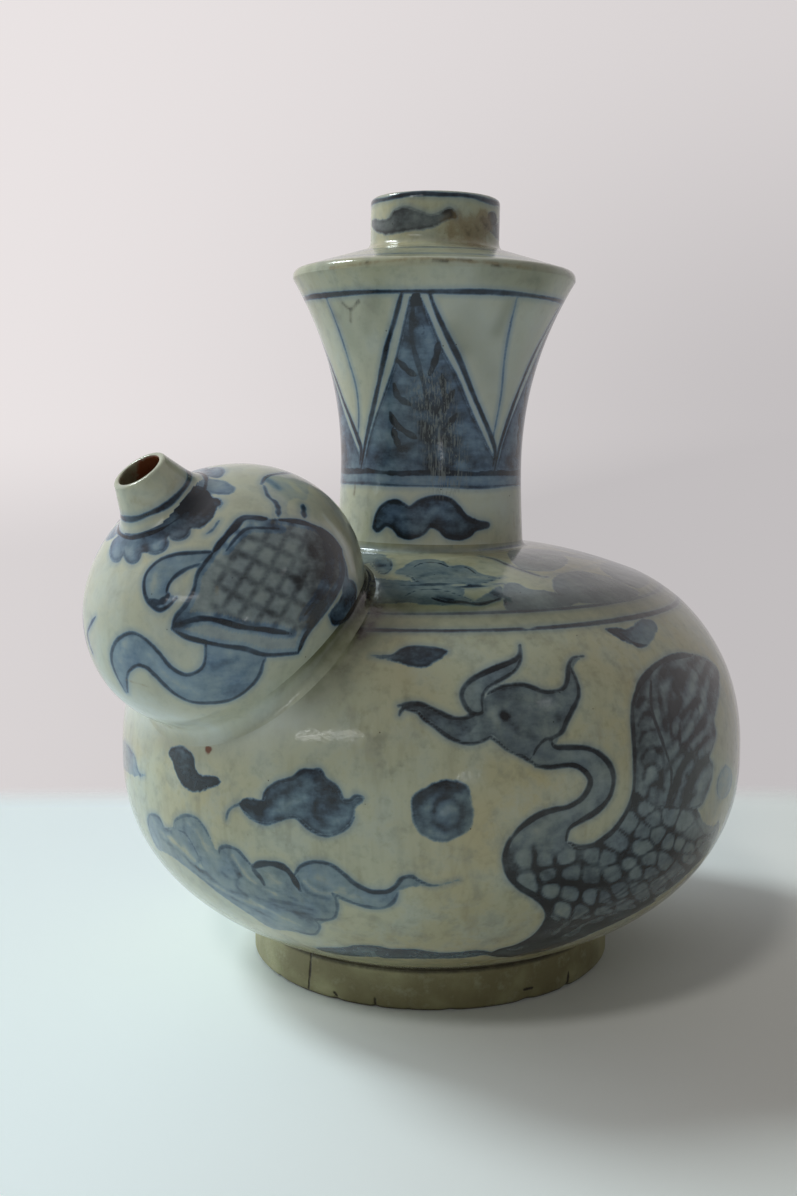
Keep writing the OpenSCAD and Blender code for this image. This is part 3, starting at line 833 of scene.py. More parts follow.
clouds = {                        # tone, outline
    "leaf": (0.76, [(375, 657), (390, 657), (400, 650), (417, 646), (435, 648), (448, 652), (430, 665),
        (417, 667.6), (400, 663)]),
    "leftComma": (0.9, [(168, 754), (171, 748.5), (180, 746), (188.5, 751), (194, 759), (195, 768),
        (200.5, 775), (210, 776), (219, 779), (220, 783), (212, 787), (204, 790), (193, 792), (186, 788),
        (180, 781), (175, 771), (172, 762)]),
    "upper": (0.64, [(239, 804), (245, 799), (252, 799), (263, 800), (267, 791), (278, 783), (293, 779),
        (302, 772), (313, 771), (320, 771), (325, 780), (337, 789), (343, 800), (350, 801), (356, 796.5),
        (363, 798), (361, 803), (355, 808.5), (354, 817), (348, 827), (337, 833.5), (326, 836), (315, 832),
        (304, 824), (297, 818), (289, 817), (278, 820.5), (267, 824), (254, 820.5), (245, 813)]),
    "bank": (0.33, [(156, 848), (149, 832), (147, 819), (151, 815), (158, 818), (164.5, 829), (173, 827),
        (175, 820.5), (184, 816), (195, 818), (203, 827), (210, 839), (216, 850), (225.5, 847), (236, 850),
        (245, 859), (252, 868), (258, 865), (269, 864), (282, 867), (293, 876), (302, 866), (315, 862.5),
        (330, 865), (343, 874), (356, 885), (371.5, 892), (387, 892), (395.5, 887), (402, 879), (411, 877),
        (419.5, 881.5), (435, 886), (411, 887), (398, 892), (393, 902), (382.5, 908), (365, 906.5),
        (348, 901), (335, 897), (337, 904), (334.5, 917), (326, 921), (319, 926), (315, 934), (302, 933),
        (287, 931), (270, 928), (245, 912), (220, 895), (195, 875), (170, 856)]),
    "leftEdge": (0.3, [(118, 745), (123, 741), (129.6, 751), (134, 758), (136, 768), (139, 775),
        (133, 776), (124, 770), (119, 760)]),
    "rightEdge": (0.22, [(727, 765), (733, 772), (733, 785), (728, 797), (721, 800), (718, 790),
        (721, 776)]),
    "footBand": (0.68, [(316, 948), (345, 948), (357, 946), (378, 947), (390, 949.5), (416, 950),
        (435, 953), (456.5, 953), (478, 951), (492, 952.5), (478, 956), (452, 958.5), (392, 958.5),
        (378, 957), (357, 956.6), (333, 954)])}
plumes = {                        # tail drawn in front, then carried round behind the phoenix
    "upper": (0.5, [(292, 866), (330, 852), (366, 846), (400, 830), (432, 806), (464, 792), (500, 794),
        (522, 810), (530, 826), (512, 816), (484, 808), (452, 822), (414, 850), (372, 868), (330, 876),
        (292, 886)]),
    "lower": (0.5, [(290, 886), (335, 884), (375, 880), (415, 868), (450, 852), (486, 850), (516, 862),
        (528, 880), (500, 868), (470, 868), (438, 882), (398, 896), (350, 902), (290, 904)]),
    "curl": (0.46, [(296, 862), (336, 834), (374, 812), (404, 788), (424, 762), (450, 750), (474, 758),
        (478, 776), (464, 782), (466, 768), (450, 764), (432, 780), (410, 806), (376, 830), (336, 850)])}
plumeLines = {
    "upper": (1.2, 0.92, plumes["upper"][1][:10]),
    "upper2": (1.0, 0.9, plumes["upper"][1][9:]),
    "lower": (1.2, 0.92, plumes["lower"][1][:9]),
    "lower2": (1.0, 0.9, plumes["lower"][1][8:]),
    "curl": (1.1, 0.92, plumes["curl"][1][:10]),
    "curl2": (1.0, 0.88, plumes["curl"][1][9:]),
    "vein": (0.7, 0.8, [(300, 876), (340, 864), (386, 850), (424, 826), (462, 802), (498, 802)]),
    "vein2": (0.7, 0.8, [(300, 894), (350, 892), (400, 880), (444, 862), (486, 858)])}
rightComma = [
    (606, 629.6), (617, 627.7), (626.5, 629.6), (634, 626), (640, 620), (650, 619), (658, 626), (655, 637),
    (648, 646), (638, 646), (624.6, 641), (613, 634)]
bank, upperCloud = clouds["bank"][1], clouds["upper"][1]
cloudLines = {
    "bank1": (0.9, 0.62, bank[:6] + [(173, 828)]),
    "bank2": (0.9, 0.62, [(173, 826)] + bank[7:12]),
    "bank3": (0.9, 0.6, [(173, 828), (184, 833.5), (191, 843), (199, 859), (204, 869.5)]),
    "bank4": (1.0, 0.72, [(219, 855), (219, 850)] + bank[13:16] + [(252, 867)]),
    "bank5": (1.7, 0.92, [(252, 869.5)] + bank[17:20] + [(291, 875), (300, 891)]),
    "bank5b": (1.5, 0.85, [(252, 869.5), (260, 878), (264, 885)]),
    "bank6": (1.2, 0.82, [(295, 874)] + bank[21:32] + [(428, 885), (435, 886)]),
    "bank7": (1.0, 0.66, bank[34:39] + [(332, 893.5)]),
    "bank8": (1.0, 0.66, [(332, 893.5)] + bank[40:42] + [(326, 920), (315, 920)] + bank[43:46] +
        [(287, 927)]),
    "bankTip": (0.4, 0.5, [(433, 886), (445, 884), (459, 880)]),
    "upperTop": (1.1, 0.9, upperCloud[3:16]),
    "upperLow": (0.8, 0.8, [(241, 808), (248, 816), (256, 821)] + upperCloud[27:23:-1] + [(306, 826),
        (316, 833)] + upperCloud[21:17:-1]),
    "upperTail": (0.6, 0.7, [(226, 820), (228, 812), (233, 807), (241, 804)]),
    "leafVein": (0.9, 0.9, [(377, 657), (392, 656), (402, 650), (417, 647), (435, 649), (447, 652)]),
    "leafStem": (0.5, 0.7, [(371, 656), (380, 656.5), (392, 660)]),
    "commaEdge": (1.2, 0.95, [(607, 629.6), (617, 632), (627, 638), (638, 645), (648, 645)]),
    "leftMark": (0.8, 0.66, clouds["leftEdge"][1][1:6] + [(144, 775)]),
    "rightMark": (0.6, 0.6, [(723, 770), (719, 782), (719, 794), (722, 800)]),
    "bandTop": (0.8, 0.8, clouds["footBand"][1][:10])}
cloudStrokes = [
    (2.0, 0.32, [(318, 783), (326, 790), (333, 797)]), (1.2, -0.24, [(335, 823), (346, 816)]),
    (0.8, 0.22, [(262, 808), (280, 795), (300, 785)]), (0.9, -0.18, [(270, 815), (290, 804), (306, 798)]),
    (0.7, 0.25, [(318, 800), (314, 812), (322, 824), (336, 826)]), (1.3, 0.25, [(247, 806), (258, 812)]),
    (0.5, 0.22, [(160, 838), (176, 850), (196, 868), (222, 887)]),
    (0.5, 0.2, [(175, 858), (182, 855), (191, 864), (206, 873)]),
    (0.5, 0.2, [(226, 891), (257, 898), (289, 911), (311, 915)]),
    (0.5, 0.2, [(198, 876), (218, 891), (249, 907), (276, 921)]),
    (0.5, 0.2, [(236, 872), (252, 884), (272, 890), (296, 900)]),
    (0.5, 0.22, [(298, 878), (308, 892), (330, 900)]),
    (0.5, 0.2, [(232, 862), (240, 873), (232, 880), (222, 873)]), (1.6, 0.12, [(285, 905), (310, 920)]),
    (1.4, -0.12, [(170, 838), (186, 850)]), (1.4, -0.12, [(318, 876), (345, 893), (375, 902)]),
    (1.2, -0.14, [(268, 878), (280, 884)]), (1.2, 0.15, [(318, 905), (328, 912)]),
    (0.8, 0.15, [(168, 842), (163, 830), (170, 833), (180, 846)]),
    (0.8, -0.2, [(160, 832), (178, 846), (200, 866)]), (0.7, -0.2, [(232, 856), (250, 880), (275, 894)]),
    (0.7, -0.18, [(250, 900), (275, 914), (300, 926)]), (0.7, -0.18, [(205, 880), (235, 897), (262, 908)]),
    (0.7, -0.2, [(304, 882), (318, 892), (336, 894)]),
    (0.6, 0.3, [(200, 858), (196, 868), (206, 874), (216, 882)]),
    (0.6, 0.28, [(240, 876), (236, 886), (246, 896)]), (1.6, 0.2, [(296, 912), (312, 922), (300, 930)]),
    (0.6, 0.3, [(270, 900), (290, 904), (312, 910)]), (0.6, -0.15, [(186, 822), (198, 834), (206, 850)])]
sun = [(444, 780), (465, 785), (471, 799), (471, 827), (444, 842), (421, 834), (412, 815), (414, 795)]
sunStrokes = [
    (1.5, 0.38, [(424, 824), (417, 808), (424, 793), (440, 786), (456, 787)]),
    (0.8, 0.25, [(464, 800), (467, 816), (460, 830)]),
    (0.7, 0.3, [(433, 822), (446, 830), (459, 822), (461, 807), (450, 797), (437, 802), (434, 812)]),
    (1.2, -0.28, [(444, 813), (450, 808)]), (0.8, -0.2, [(430, 832), (446, 838)]),
    (0.7, -0.12, [(428, 812), (432, 800)])]

shoulder = {
    "upperLeaf": (0.35, [(394, 573), (403.5, 567), (413, 561), (428.5, 559), (442, 561), (450, 566),
        (461, 565), (473, 568), (480, 573), (496, 577), (503.5, 577), (488, 581.5), (473, 585),
        (459, 582.5), (432, 583.5), (417, 581.5), (411, 576)]),
    "lowerLeaf": (0.38, [(403.5, 597), (415, 591), (430, 589), (446, 591), (461, 596), (473, 601),
        (488, 593), (500, 586), (503, 598), (482, 606), (461, 605), (440, 605), (420, 604)]),
    "smallLeaf": (0.44, [(372, 560), (381, 556), (390, 560), (392, 568), (384, 574), (376, 569)]),
    "panelTop": (0.36, [(508, 553), (522, 549), (540, 549), (558, 553), (568, 561), (556, 570), (536, 571),
        (518, 567)]),
    "panelMid": (0.4, [(556, 576), (576, 571), (598, 574), (616, 580), (630, 587), (640, 593), (628, 600),
        (606, 603), (582, 603), (562, 597), (553, 586)]),
    "panelFar": (0.36, [(600, 566), (620, 561), (640, 569), (650, 581), (640, 588), (626, 584),
        (612, 577)]),
    "panelLow": (0.4, [(504, 586), (516, 583), (530, 589), (548, 591), (565, 596), (580, 600), (570, 606),
        (545, 609), (520, 611), (506, 609)])}
leafTop, leafUnder = shoulder["upperLeaf"][1], shoulder["lowerLeaf"][1]
shoulderLines = {
    "vein": (0.9, 0.92, [(412, 568), (423, 563), (438, 563), (450, 567), (465, 567), (476.5, 574)]),
    "leafLow": (0.7, 0.8, [(396, 573), (411, 577)] + leafTop[15:10:-1] + [(503, 577)]),
    "stem": (0.8, 0.75, [(372, 588), (396, 586), (409, 585), (442, 585.5), (473, 587), (505, 583)]),
    "lowVein": (1.3, 0.95, [(432, 598), (446, 602), (461, 602), (480, 604), (500, 599)]),
    "leafEdge": (0.8, 0.8, leafUnder[:6]),
    "smallEdge": (0.7, 0.85, [(370, 563), (376, 569), (384, 574), (391, 568), (390, 559)]),
    "panelStem": (0.9, 0.85, [(480, 556), (494, 559), (508, 565), (522, 570), (540, 576), (549, 577)]),
    "panelEdge": (0.5, 0.5, [(545, 577), (563, 573), (580, 570), (596, 566), (612, 562)])}
shoulderStrokes = [
    (0.9, 0.25, [(420, 577), (436, 573), (450, 574)]), (1.0, -0.2, [(470, 577), (486, 578)]),
    (0.9, 0.35, [(438, 597), (452, 600)]), (1.4, 0.3, [(496, 594), (502, 602)]), (1.2, 0.3, [(381, 566)]),
    (2.0, 0.12, [(575, 590), (600, 592)])]
# painted shadow in the crease where the bulb meets the body and beside the shoulder, with one small dark
# speck
bodySootAndShade = [
    (2.0, 0.9, [(370, 598), (376, 612), (368, 626), (360, 634)]), (3.0, 0.45, [(380, 606), (405, 604)]),
    (2.0, 0.3, [(372, 585), (378, 596)]), (0.5, 0.5, [(497, 615)]),
    (3.0, 0.3, [(362, 628), (354, 650), (338, 672)])]
bodyDirt = [
    (0.5, 0.5, [(212, 752)]), (1.8, 0.18, [(536, 916), (515, 922)]), (2.0, 0.22, [(632, 681)]),
    (3.0, 0.14, [(600, 660)]), (0.5, 0.35, [(350, 862)]),
    (1.2, 0.4, [(300, 945), (383, 966), (490, 961), (587, 939)]), (0.6, 0.4, [(507, 911)]),
    (0.6, 0.3, [(466, 930)])]
bodyPools = [
    (6.0, 0.8, [(112, 698), (150, 714), (200, 728), (255, 731), (305, 715)]),
    (4.0, 0.4, [(260, 716), (300, 706), (325, 685)])]
# painted shade: dull film in the crease below the bulb and on the lower right of the belly
bodyPaintedShade = [
    (7.0, 0.7, [(350, 645), (335, 672), (312, 690)]), (4.0, 0.3, [(380, 625), (372, 645)]),
    (9.0, 0.2, [(640, 900), (560, 935)])]
bodyWearAndShade = {"stain": bodyDirt, "pool": bodyPools, "film": bodyPaintedShade, "soot": bodySootAndShade,
            "iron": [(0.9, 1.2, [(207.5, 749.5), (209, 750.5)])]}
bodyRings = {"corner": ((442, 631), 1.2, 0.88), "inner": ((530, 611), 0.9, 0.72),
             "neckFoot": ((430, 551), 0.9, 0.8)}
ringGap = {"pixel": (526, 622), "half": 2.4, "slope": 0.6}      # where the brush lifted
commaFade = ((615, 634), (645, 628), 1.0, 0.45)                 # from pixel, to pixel, tones
# dust and painted shade: a dull film over the top of the shoulder and the dome
dustAndShade = {"below": 8, "onto": (1, 4), "most": 0.95, "less": 0.54}    # on the shoulder, in mm from its corner
phoenixTones = {
    "tail": 0.88, "neck": 0.44, "breast": 1.0, "wing": 0.54, "head": 0.49, "crest": 0.44, "beak": 0.64}
bodyTones = {"comma": 0.9, "sun": 0.5}
bodyGreys = {"tail": 0.7, "phoenix": 0.55, "cloud": 0.15, "plume": 0.6, "shoulder": 0.4}


def paintBody():
    canvas = Canvas(bodySkin, ["lowerBody", "bellySeam", "upperBody", "neckSeam"])
    shades = {"breast": scaleCells(breastCells), "wing": feathered}
    for name, tone in phoenixTones.items():
        canvas.grey = bodyGreys["tail" if name == "tail" else "phoenix"]
        canvas.area(phoenix[name], tone, bothSides, shades.get(name), over=name in ("breast", "beak"))
    for strokes in (wingStrokes, breastStrokes, tailStrokes, headStrokes):
        wipe(canvas, strokes, bothSides)
    paint(canvas, phoenixLines, bothSides)
    canvas.grey = bodyGreys["cloud"]
    for tone, pixels in clouds.values():
        canvas.area(pixels, tone, bothSides)
    canvas.area(rightComma, bodyTones["comma"], bothSides, across(*commaFade))
    canvas.area(sun, bodyTones["sun"], bothSides)
    wipe(canvas, cloudStrokes + sunStrokes, bothSides)
    paint(canvas, cloudLines, bothSides)
    canvas.grey = bodyGreys["plume"]
    for tone, pixels in plumes.values():
        canvas.area(pixels, tone, behind)
    paint(canvas, plumeLines, behind)
    canvas.grey = bodyGreys["shoulder"]
    for tone, pixels in shoulder.values():
        canvas.area(pixels, tone, fourRound)
    wipe(canvas, shoulderStrokes, fourRound)
    paint(canvas, shoulderLines, fourRound)
    gap = canvas.skin.hit([ringGap["pixel"]])

    def openRing(near):
        return ringGap["slope"] * (np.linalg.norm(canvas.points[near] - gap, axis=1) - ringGap["half"])

    for name, ring in bodyRings.items():
        canvas.ring(*ring, part=openRing if name == "corner" else None)
    layWearAndShade(canvas, bodyWearAndShade)
    # painted shade with dust: film darkens everything above the shoulder's corner
    up = canvas.points[:, 2] - body["shoulderZ"]
    least = dustAndShade["less"] * fade(up, *dustAndShade["onto"])
    canvas.marks["film"] += fade(up, -dustAndShade["below"], 0) * (dustAndShade["most"] - least)
    canvas.finish()


lappet = [
    (412, 293), (410, 297), (403, 330), (395, 362), (384, 395), (375, 421), (368, 447), (363, 474),
    (400, 475), (440, 476), (497, 475), (494, 458.5), (484, 440), (471, 412), (456, 377), (441, 349),
    (430, 323), (421, 300), (419, 293)]
lappetLines = {
    "leftEdge": (1.3, 0.95, [(401, 293), (393, 323), (386, 347), (379, 380), (371.6, 414), (365, 444),
        (361, 468)]),
    "rightEdge": (1.4, 0.95, [(428, 291), (436, 312), (447, 336), (460, 362), (475, 399), (488, 429),
        (495, 450), (493, 466)]),
    "leftFill": (0.8, 0.85, lappet[1:7] + [(364, 468)]),
    "rightFill": (0.8, 0.8, lappet[17:10:-1]),
    "vein": (1.6, 0.96, [(413, 300), (410.7, 329.5), (413, 347.5), (419, 368.5), (424, 388), (428, 410)]),
    "hook": (0.8, 0.8, [(416, 322), (421, 323), (423.5, 329.5), (422, 334), (417.5, 331)]),
    "chevron1": (1.8, 1.0, [(396, 360), (402, 365), (408, 371), (416, 376)]),
    "chevron2": (1.9, 1.0, [(393.5, 384), (396, 393), (400, 399), (411, 405)]),
    "chevron3": (1.9, 1.0, [(389.5, 412), (394, 422), (402.5, 430), (416, 438)]),
    "chevron4": (1.9, 1.0, [(438, 341.5), (436.5, 354), (433, 365), (429, 375)]),
    "chevron5": (1.8, 1.0, [(441.5, 374), (443, 390), (446, 403), (443, 413)]),
    "chevron6": (1.7, 0.98, [(454, 390), (449, 398), (445, 405)]),
    "chevron7": (1.8, 0.98, [(456.5, 414), (452, 420), (446, 428)]),
    "chevron8": (1.9, 0.98, [(392.5, 429), (396, 440), (402, 452)]),
    "barLeft": (1.5, 0.98, [(383, 472.5), (396, 473.5), (412, 474)]),
    "barRight": (1.5, 0.98, [(478.5, 473), (494, 473), (509, 472)]),
    "thin": (0.7, 0.55, [(516.6, 299), (510, 326.5), (504.5, 358), (501, 395), (493, 438)])}
lappetStrokes = [
    (7.0, 0.14, [(412, 350), (420, 385), (430, 425), (440, 470)]),
    (1.9, 0.6, [(411, 293), (415, 300), (420, 294)]), (2.2, 0.32, [(387, 452), (402, 450)]),
    (1.2, 0.12, [(414, 320), (412, 345), (418, 366)]), (1.4, -0.12, [(428, 330), (430, 345)]),
    (2.4, 0.14, [(455, 440), (470, 462)]), (1.8, 0.25, [(424, 425), (428, 445), (432, 465)]),
    (1.6, 0.22, [(436, 415), (446, 440), (452, 462)]), (1.6, -0.16, [(392, 440), (388, 458)]),
    (1.3, 0.2, [(384, 466), (376, 460)]), (1.3, -0.14, [(404, 345), (402, 380)]),
    (1.2, -0.12, [(428, 340), (434, 362)]), (1.4, -0.1, [(466, 425), (474, 455)]),
    (1.1, 0.15, [(400, 392), (398, 410)]), (1.2, 0.16, [(414, 320), (407, 345)])]
neckCloud = [
    (374, 527), (377, 514), (384, 505), (395, 501), (404, 505), (410, 508), (421, 501), (436, 497.5),
    (449, 500), (458, 508), (465.5, 517), (477, 522.6), (488, 525), (475, 529), (469, 535), (458, 538),
    (447, 536), (439, 529), (430, 526), (423, 533), (410, 537.5), (400, 535), (393, 527), (385.5, 524.5),
    (378, 530)]
neckStrokes = [
    (1.3, -0.24, [(388, 518), (394, 511), (401, 516)]), (1.3, -0.22, [(404, 528), (414, 527)]),
    (1.3, -0.24, [(426, 516), (438, 510), (448, 517)]), (1.2, -0.2, [(454, 530), (462, 528)])]
mouthCloud = [
    (372, 220), (383, 220), (389, 217), (394.5, 210), (406, 207), (418, 211), (430, 215), (441, 212),
    (449, 208), (455, 213), (457, 218), (447, 220), (437.5, 225), (426, 229), (414, 230), (394.5, 233),
    (383, 234), (373, 229)]
neckDirt = [
    (4.2, 0.68, [(456, 228), (468, 232), (484, 226)]), (1.8, 0.3, [(484, 214), (488, 226)]),
    (2.0, 0.3, [(436, 244), (460, 246), (486, 245)]),
    (0.6, 0.45, [(330, 268), (366, 263), (422, 258.5), (480, 262), (530, 268)]),
    (3.5, 0.16, [(520, 320), (505, 345)]), (1.0, 0.2, [(455, 492), (500, 490)]),
    (2.0, 0.16, [(400, 252), (470, 252)]), (0.5, 0.5, [(355, 486), (354, 494)]),
    (0.8, 0.25, [(514, 512), (514, 530)])]
neckSoot = [
    (0.45, 0.8, [(342, 303), (350, 309), (358, 301)]), (0.45, 0.75, [(350, 309), (350, 321)]),
    (0.5, 0.8, [(433, 260), (446, 261)]), (0.4, 0.7, [(492, 265), (500, 266)]), (0.4, 0.8, [(366, 262)]),
    (0.4, 0.5, [(458, 259), (470, 260)]), (0.5, 0.5, [(390, 245), (470, 248)]),
    (0.6, 0.4, [(355, 484), (354, 494)])]
# dust blotches on the neck, and painted shade on the right of the flange slope beside the mouth and under the
# flange's right edge
neckFilmAndShade = [
    (6.0, 0.36, [(500, 252), (545, 266)]), (4.0, 0.22, [(466, 312), (474, 340), (488, 372)]),
    (2.5, 0.4, [(508, 306), (498, 330)]), (3.0, 0.35, [(338, 316), (352, 344)]),
    (2.0, 0.3, [(372, 300), (366, 330)]), (4.0, 0.4, [(490, 274), (540, 284)]),
    (2.5, 0.35, [(452, 330), (462, 350)])]
neckPools = [
    (15.0, 0.8, [(470, 310), (480, 350), (490, 400)]), (12.0, 0.5, [(545, 320), (525, 380)]),
    (8.0, 0.8, [(400, 500), (450, 495), (500, 500)]), (3.0, 0.7, [(375, 548), (430, 551), (480, 550)])]
mouthStrokes = [(1.2, 0.4, [(446, 211), (453, 216)])]
mouthMark = [(488, 214), (494, 212), (497, 220), (494, 228), (489, 226)]
neckScratch = [(6.2, 1.0, [(430, 392), (438, 422), (445, 450), (447, 476)])]
neckWearAndShade = {"stain": neckDirt, "soot": neckSoot, "pool": neckPools, "film": neckFilmAndShade, "scratch": neckScratch}
neckRings = {"top": ((398.5, 291), 1.2, 0.9), "low": ((430, 486), 0.8, 0.78),
             "bar": ((430, 473.5), 1.5, 0.95), "lip": ((420, 194.5), 1.2, 0.9, 0.3),
             "mouthFoot": ((420, 247), 0.7, 0.7), "slope": ((420, 253), 0.5, 0.5)}
neckBand = ((430, 474), (430, 487), 0.5)                # pixels of its two edges, tone
lappetFade = ((380, 430), (480, 430), 1.0, 1.12)        # from pixel, to pixel, tones
neckCool = {"amount": 0.3, "from": (126, 134), "to": (172, 182)}     # paler glaze, between heights in mm
# dust and painted shade: dull film on the flange's upper slope
rimDustAndShade = {"amount": 0.2, "from": (182, 186), "to": (190, 194)}


neckTones = {"lappet": 0.58, "cloud": 0.78, "mouthCloud": 0.62, "mouthMark": 0.85}
neckGreys = {"lappet": 0.15, "cloud": 0.2, "mouth": 0.9}
cloudEdge, mouthEdge = (1.3, 0.98, 1.0), (0.7, 0.6, 0.5)        # width, tone, how wide the ends stay


def paintNeck():
    canvas = Canvas(neckSkin, ["neckTube", "flangeSeam", "mouthRim"])
    canvas.grey = neckGreys["lappet"]
    canvas.area(lappet, neckTones["lappet"], fourRound, across(*lappetFade))
    wipe(canvas, lappetStrokes, fourRound)
    paint(canvas, lappetLines, fourRound)
    canvas.grey = neckGreys["cloud"]
    canvas.area(neckCloud, neckTones["cloud"], threeRound)
    wipe(canvas, neckStrokes, threeRound)
    canvas.line(neckCloud + neckCloud[:1], *cloudEdge, threeRound)
    canvas.grey = neckGreys["mouth"]
    canvas.area(mouthCloud, neckTones["mouthCloud"], threeRound)
    canvas.line(mouthCloud[2:11], *mouthEdge, threeRound)
    wipe(canvas, mouthStrokes, threeRound)
    canvas.area(mouthMark, neckTones["mouthMark"])
    canvas.grey = neckGreys["cloud"]
    canvas.band(*neckBand)
    for ring in neckRings.values():
        canvas.ring(*ring)
    layWearAndShade(canvas, neckWearAndShade)
    z = canvas.points[:, 2]
    for mark, zone in (("pool", neckCool), ("film", rimDustAndShade)):
        canvas.marks[mark] += zone["amount"] * fade(z, *zone["from"]) * (1 - fade(z, *zone["to"]))
    canvas.finish()


emblem = [
    (214, 551), (222, 541), (234, 527.5), (244, 518), (264, 519), (280, 519), (296, 521.5), (313.5, 526.5),
    (331, 537), (341, 549), (343, 577), (333, 597), (317, 619), (305.5, 635), (297, 651), (266, 655),
    (244, 649), (222, 646), (204, 642), (186, 637), (172, 629), (176, 617), (186, 605), (194, 589),
    (198, 573)]
bulbAreas = {
    "loopRight": (0.72, [(341, 553), (346, 563), (349, 579), (355, 587), (354, 605), (347, 617),
        (335, 623), (329, 615), (337, 603), (342, 593), (342, 577)]),
    "loopLeft": (0.33, [(212, 553), (194, 553), (174, 555), (158.5, 561), (146.5, 573), (143.6, 587),
        (147.5, 601), (158.5, 610), (168, 605), (176, 598), (168, 594), (167, 587), (174, 577), (186, 569),
        (198, 565)]),
    "ribbon": (0.36, [(127, 692), (125, 692), (115, 673), (111, 657), (115, 643), (125, 635), (135, 634),
        (146.5, 641), (158.5, 653), (170, 667), (184, 675), (196, 673), (204, 665), (206, 651), (205, 643),
        (235, 648), (266, 655), (258, 677), (246, 690.5), (230, 700), (210, 703), (192, 702), (178, 696),
        (166, 686.5), (154.5, 675), (145, 667), (135, 666), (127, 675)]),
    "crown": (0.1, [(262, 482), (270, 475), (286, 473), (302, 474), (308, 484), (306, 500), (294, 498),
        (286, 506), (288, 518), (272, 518), (272, 500), (264, 492)])}
ribbon = bulbAreas["ribbon"][1]
bulbLines = {
    "emblemTopLeft": (1.7, 0.95, emblem[:5] + [(264, 519)]),
    "emblemTop": (1.5, 0.97, [(279, 520)] + emblem[6:10]),
    "emblemRight": (1.7, 0.97, [(341, 551)] + emblem[10:14] + [(299, 650)]),
    "emblemRight2": (1.2, 0.9, [(326, 545), (330, 560), (327, 580), (316, 600), (303, 617)]),
    "emblemLow": (1.2, 0.9, [(298, 653)] + emblem[15:21]),
    "emblemLow2": (1.4, 0.92, [(174, 625), (198, 619), (215, 620), (242, 627), (266, 630), (292, 634)]),
    "emblemLeft": (1.1, 0.88, emblem[:1] + emblem[24:19:-1]),
    "emblemTop2": (1.0, 0.85, [(226, 551), (236, 538), (247, 529), (262, 528), (282, 529)]),
    "loopOuter": (1.0, 0.85, [(214, 552)] + bulbAreas["loopLeft"][1][1:8] + [(168, 606), (176, 598)]),
    "loopInner": (1.0, 0.85, [(166, 592), (168, 585), (174, 577), (186, 569), (200, 564)]),
    "loopEnd": (1.6, 0.8, [(150, 600), (157, 603), (164, 600), (168, 595)]),
    "loopRightOuter": (1.2, 0.95, [(347, 579)] + bulbAreas["loopRight"][1][3:8]),
    "ribbonUpper": (1.0, 0.85, ribbon[1:15]),
    "ribbonLower": (1.1, 0.85, ribbon[:1] + ribbon[27:16:-1] + [(264, 660)]),
    "stem1": (1.2, 0.8, [(274, 500), (278, 508), (278, 516)]),
    "stem2": (1.3, 0.85, [(303, 505), (304, 517)]),
    "crownTop": (1.0, 0.8, [(261, 484), (268, 476), (286, 473), (300, 474), (307, 482)]),
    "crownSide": (0.9, 0.75, [(264, 486), (268, 496), (276, 503)])}
bulbStrokes = [
    (1.0, -0.1, [(156, 575), (153, 590)]), (1.3, -0.14, [(125, 642), (121, 658), (124, 668)]),
    (1.6, -0.12, [(150, 655), (170, 680), (195, 690)]), (1.6, 0.06, [(205, 690), (235, 685), (250, 668)]),
    # the pale gap at (205, 619) is a painted highlight
    (1.0, 0.2, [(214, 668), (236, 660)]), (1.0, -0.3, [(205, 619), (209, 617)]),
    (1.8, 0.4, [(178, 626), (188, 618)]), (1.0, -0.25, [(217, 557), (231, 539), (245, 525), (262, 523)]),
    (1.4, 0.25, [(312, 543), (308, 562), (298, 582)]), (1.8, 0.35, [(312, 622), (322, 610)]),
    (1.0, -0.35, [(336, 588), (334, 600)]), (1.0, 0.25, [(268, 480), (278, 488)]),
    (1.0, -0.15, [(292, 484), (298, 490)]), (2.2, 0.1, [(240, 690), (215, 698)]),
    (1.4, 0.3, [(344, 608), (350, 596)])]
bulbDirt = [
    (1.2, 0.28, [(132, 500), (150, 504)]), (1.2, 0.22, [(168, 492), (176, 480)]),
    (0.6, 0.4, [(216.5, 588), (216.5, 594)]), (2.5, 0.14, [(110, 590), (130, 600)]),
    (0.4, 0.5, [(126, 680), (148, 687)]), (3.0, 0.16, [(300, 610), (318, 640)])]
# painted highlight: a pale streak down the bulb's right shoulder, laid as pale glaze
bulbHighlight = [(0.8, 0.8, [(324, 516), (335, 530), (345, 548), (352, 570)])]
bulbWearAndHighlight = {"stain": bulbDirt, "pool": bodyPools + bulbHighlight}
lattice = {"cell": (255.0, 571.3), "families": [((-0.436, 0.90), 19.5), ((0.864, 0.50), 18.3)],
           "line": (0.6, 5.6), "pale": 0.4, "dark": 0.66, "strip": 0.28, "plain": 0.44, "bend": 1.5,
           "lengths": (19, 23), "close": 0.96, "closing": (285, 325), "plainTo": (218, 206),
           "stripEdge": (1, 6)}
collarWash = [
    (121, 534), (112, 541), (109, 552), (112, 560), (118, 561), (123, 556), (127, 561), (133, 563),
    (138, 561), (141, 554), (148, 553), (156, 553.5), (164, 550), (167, 543), (168, 537), (173, 539),
    (181, 539.5), (188, 535), (191, 529), (200, 528), (208, 522), (214, 515), (217, 508), (221, 505),
    (219, 499), (212, 497), (206, 489), (198, 486), (192, 488), (184, 498), (175, 509), (166, 519),
    (157, 526), (144, 532), (131, 534)]
collarGrey = [
    (196, 484), (206, 479), (218, 480), (228, 483), (235, 489), (229, 494), (216, 494), (205, 492)]
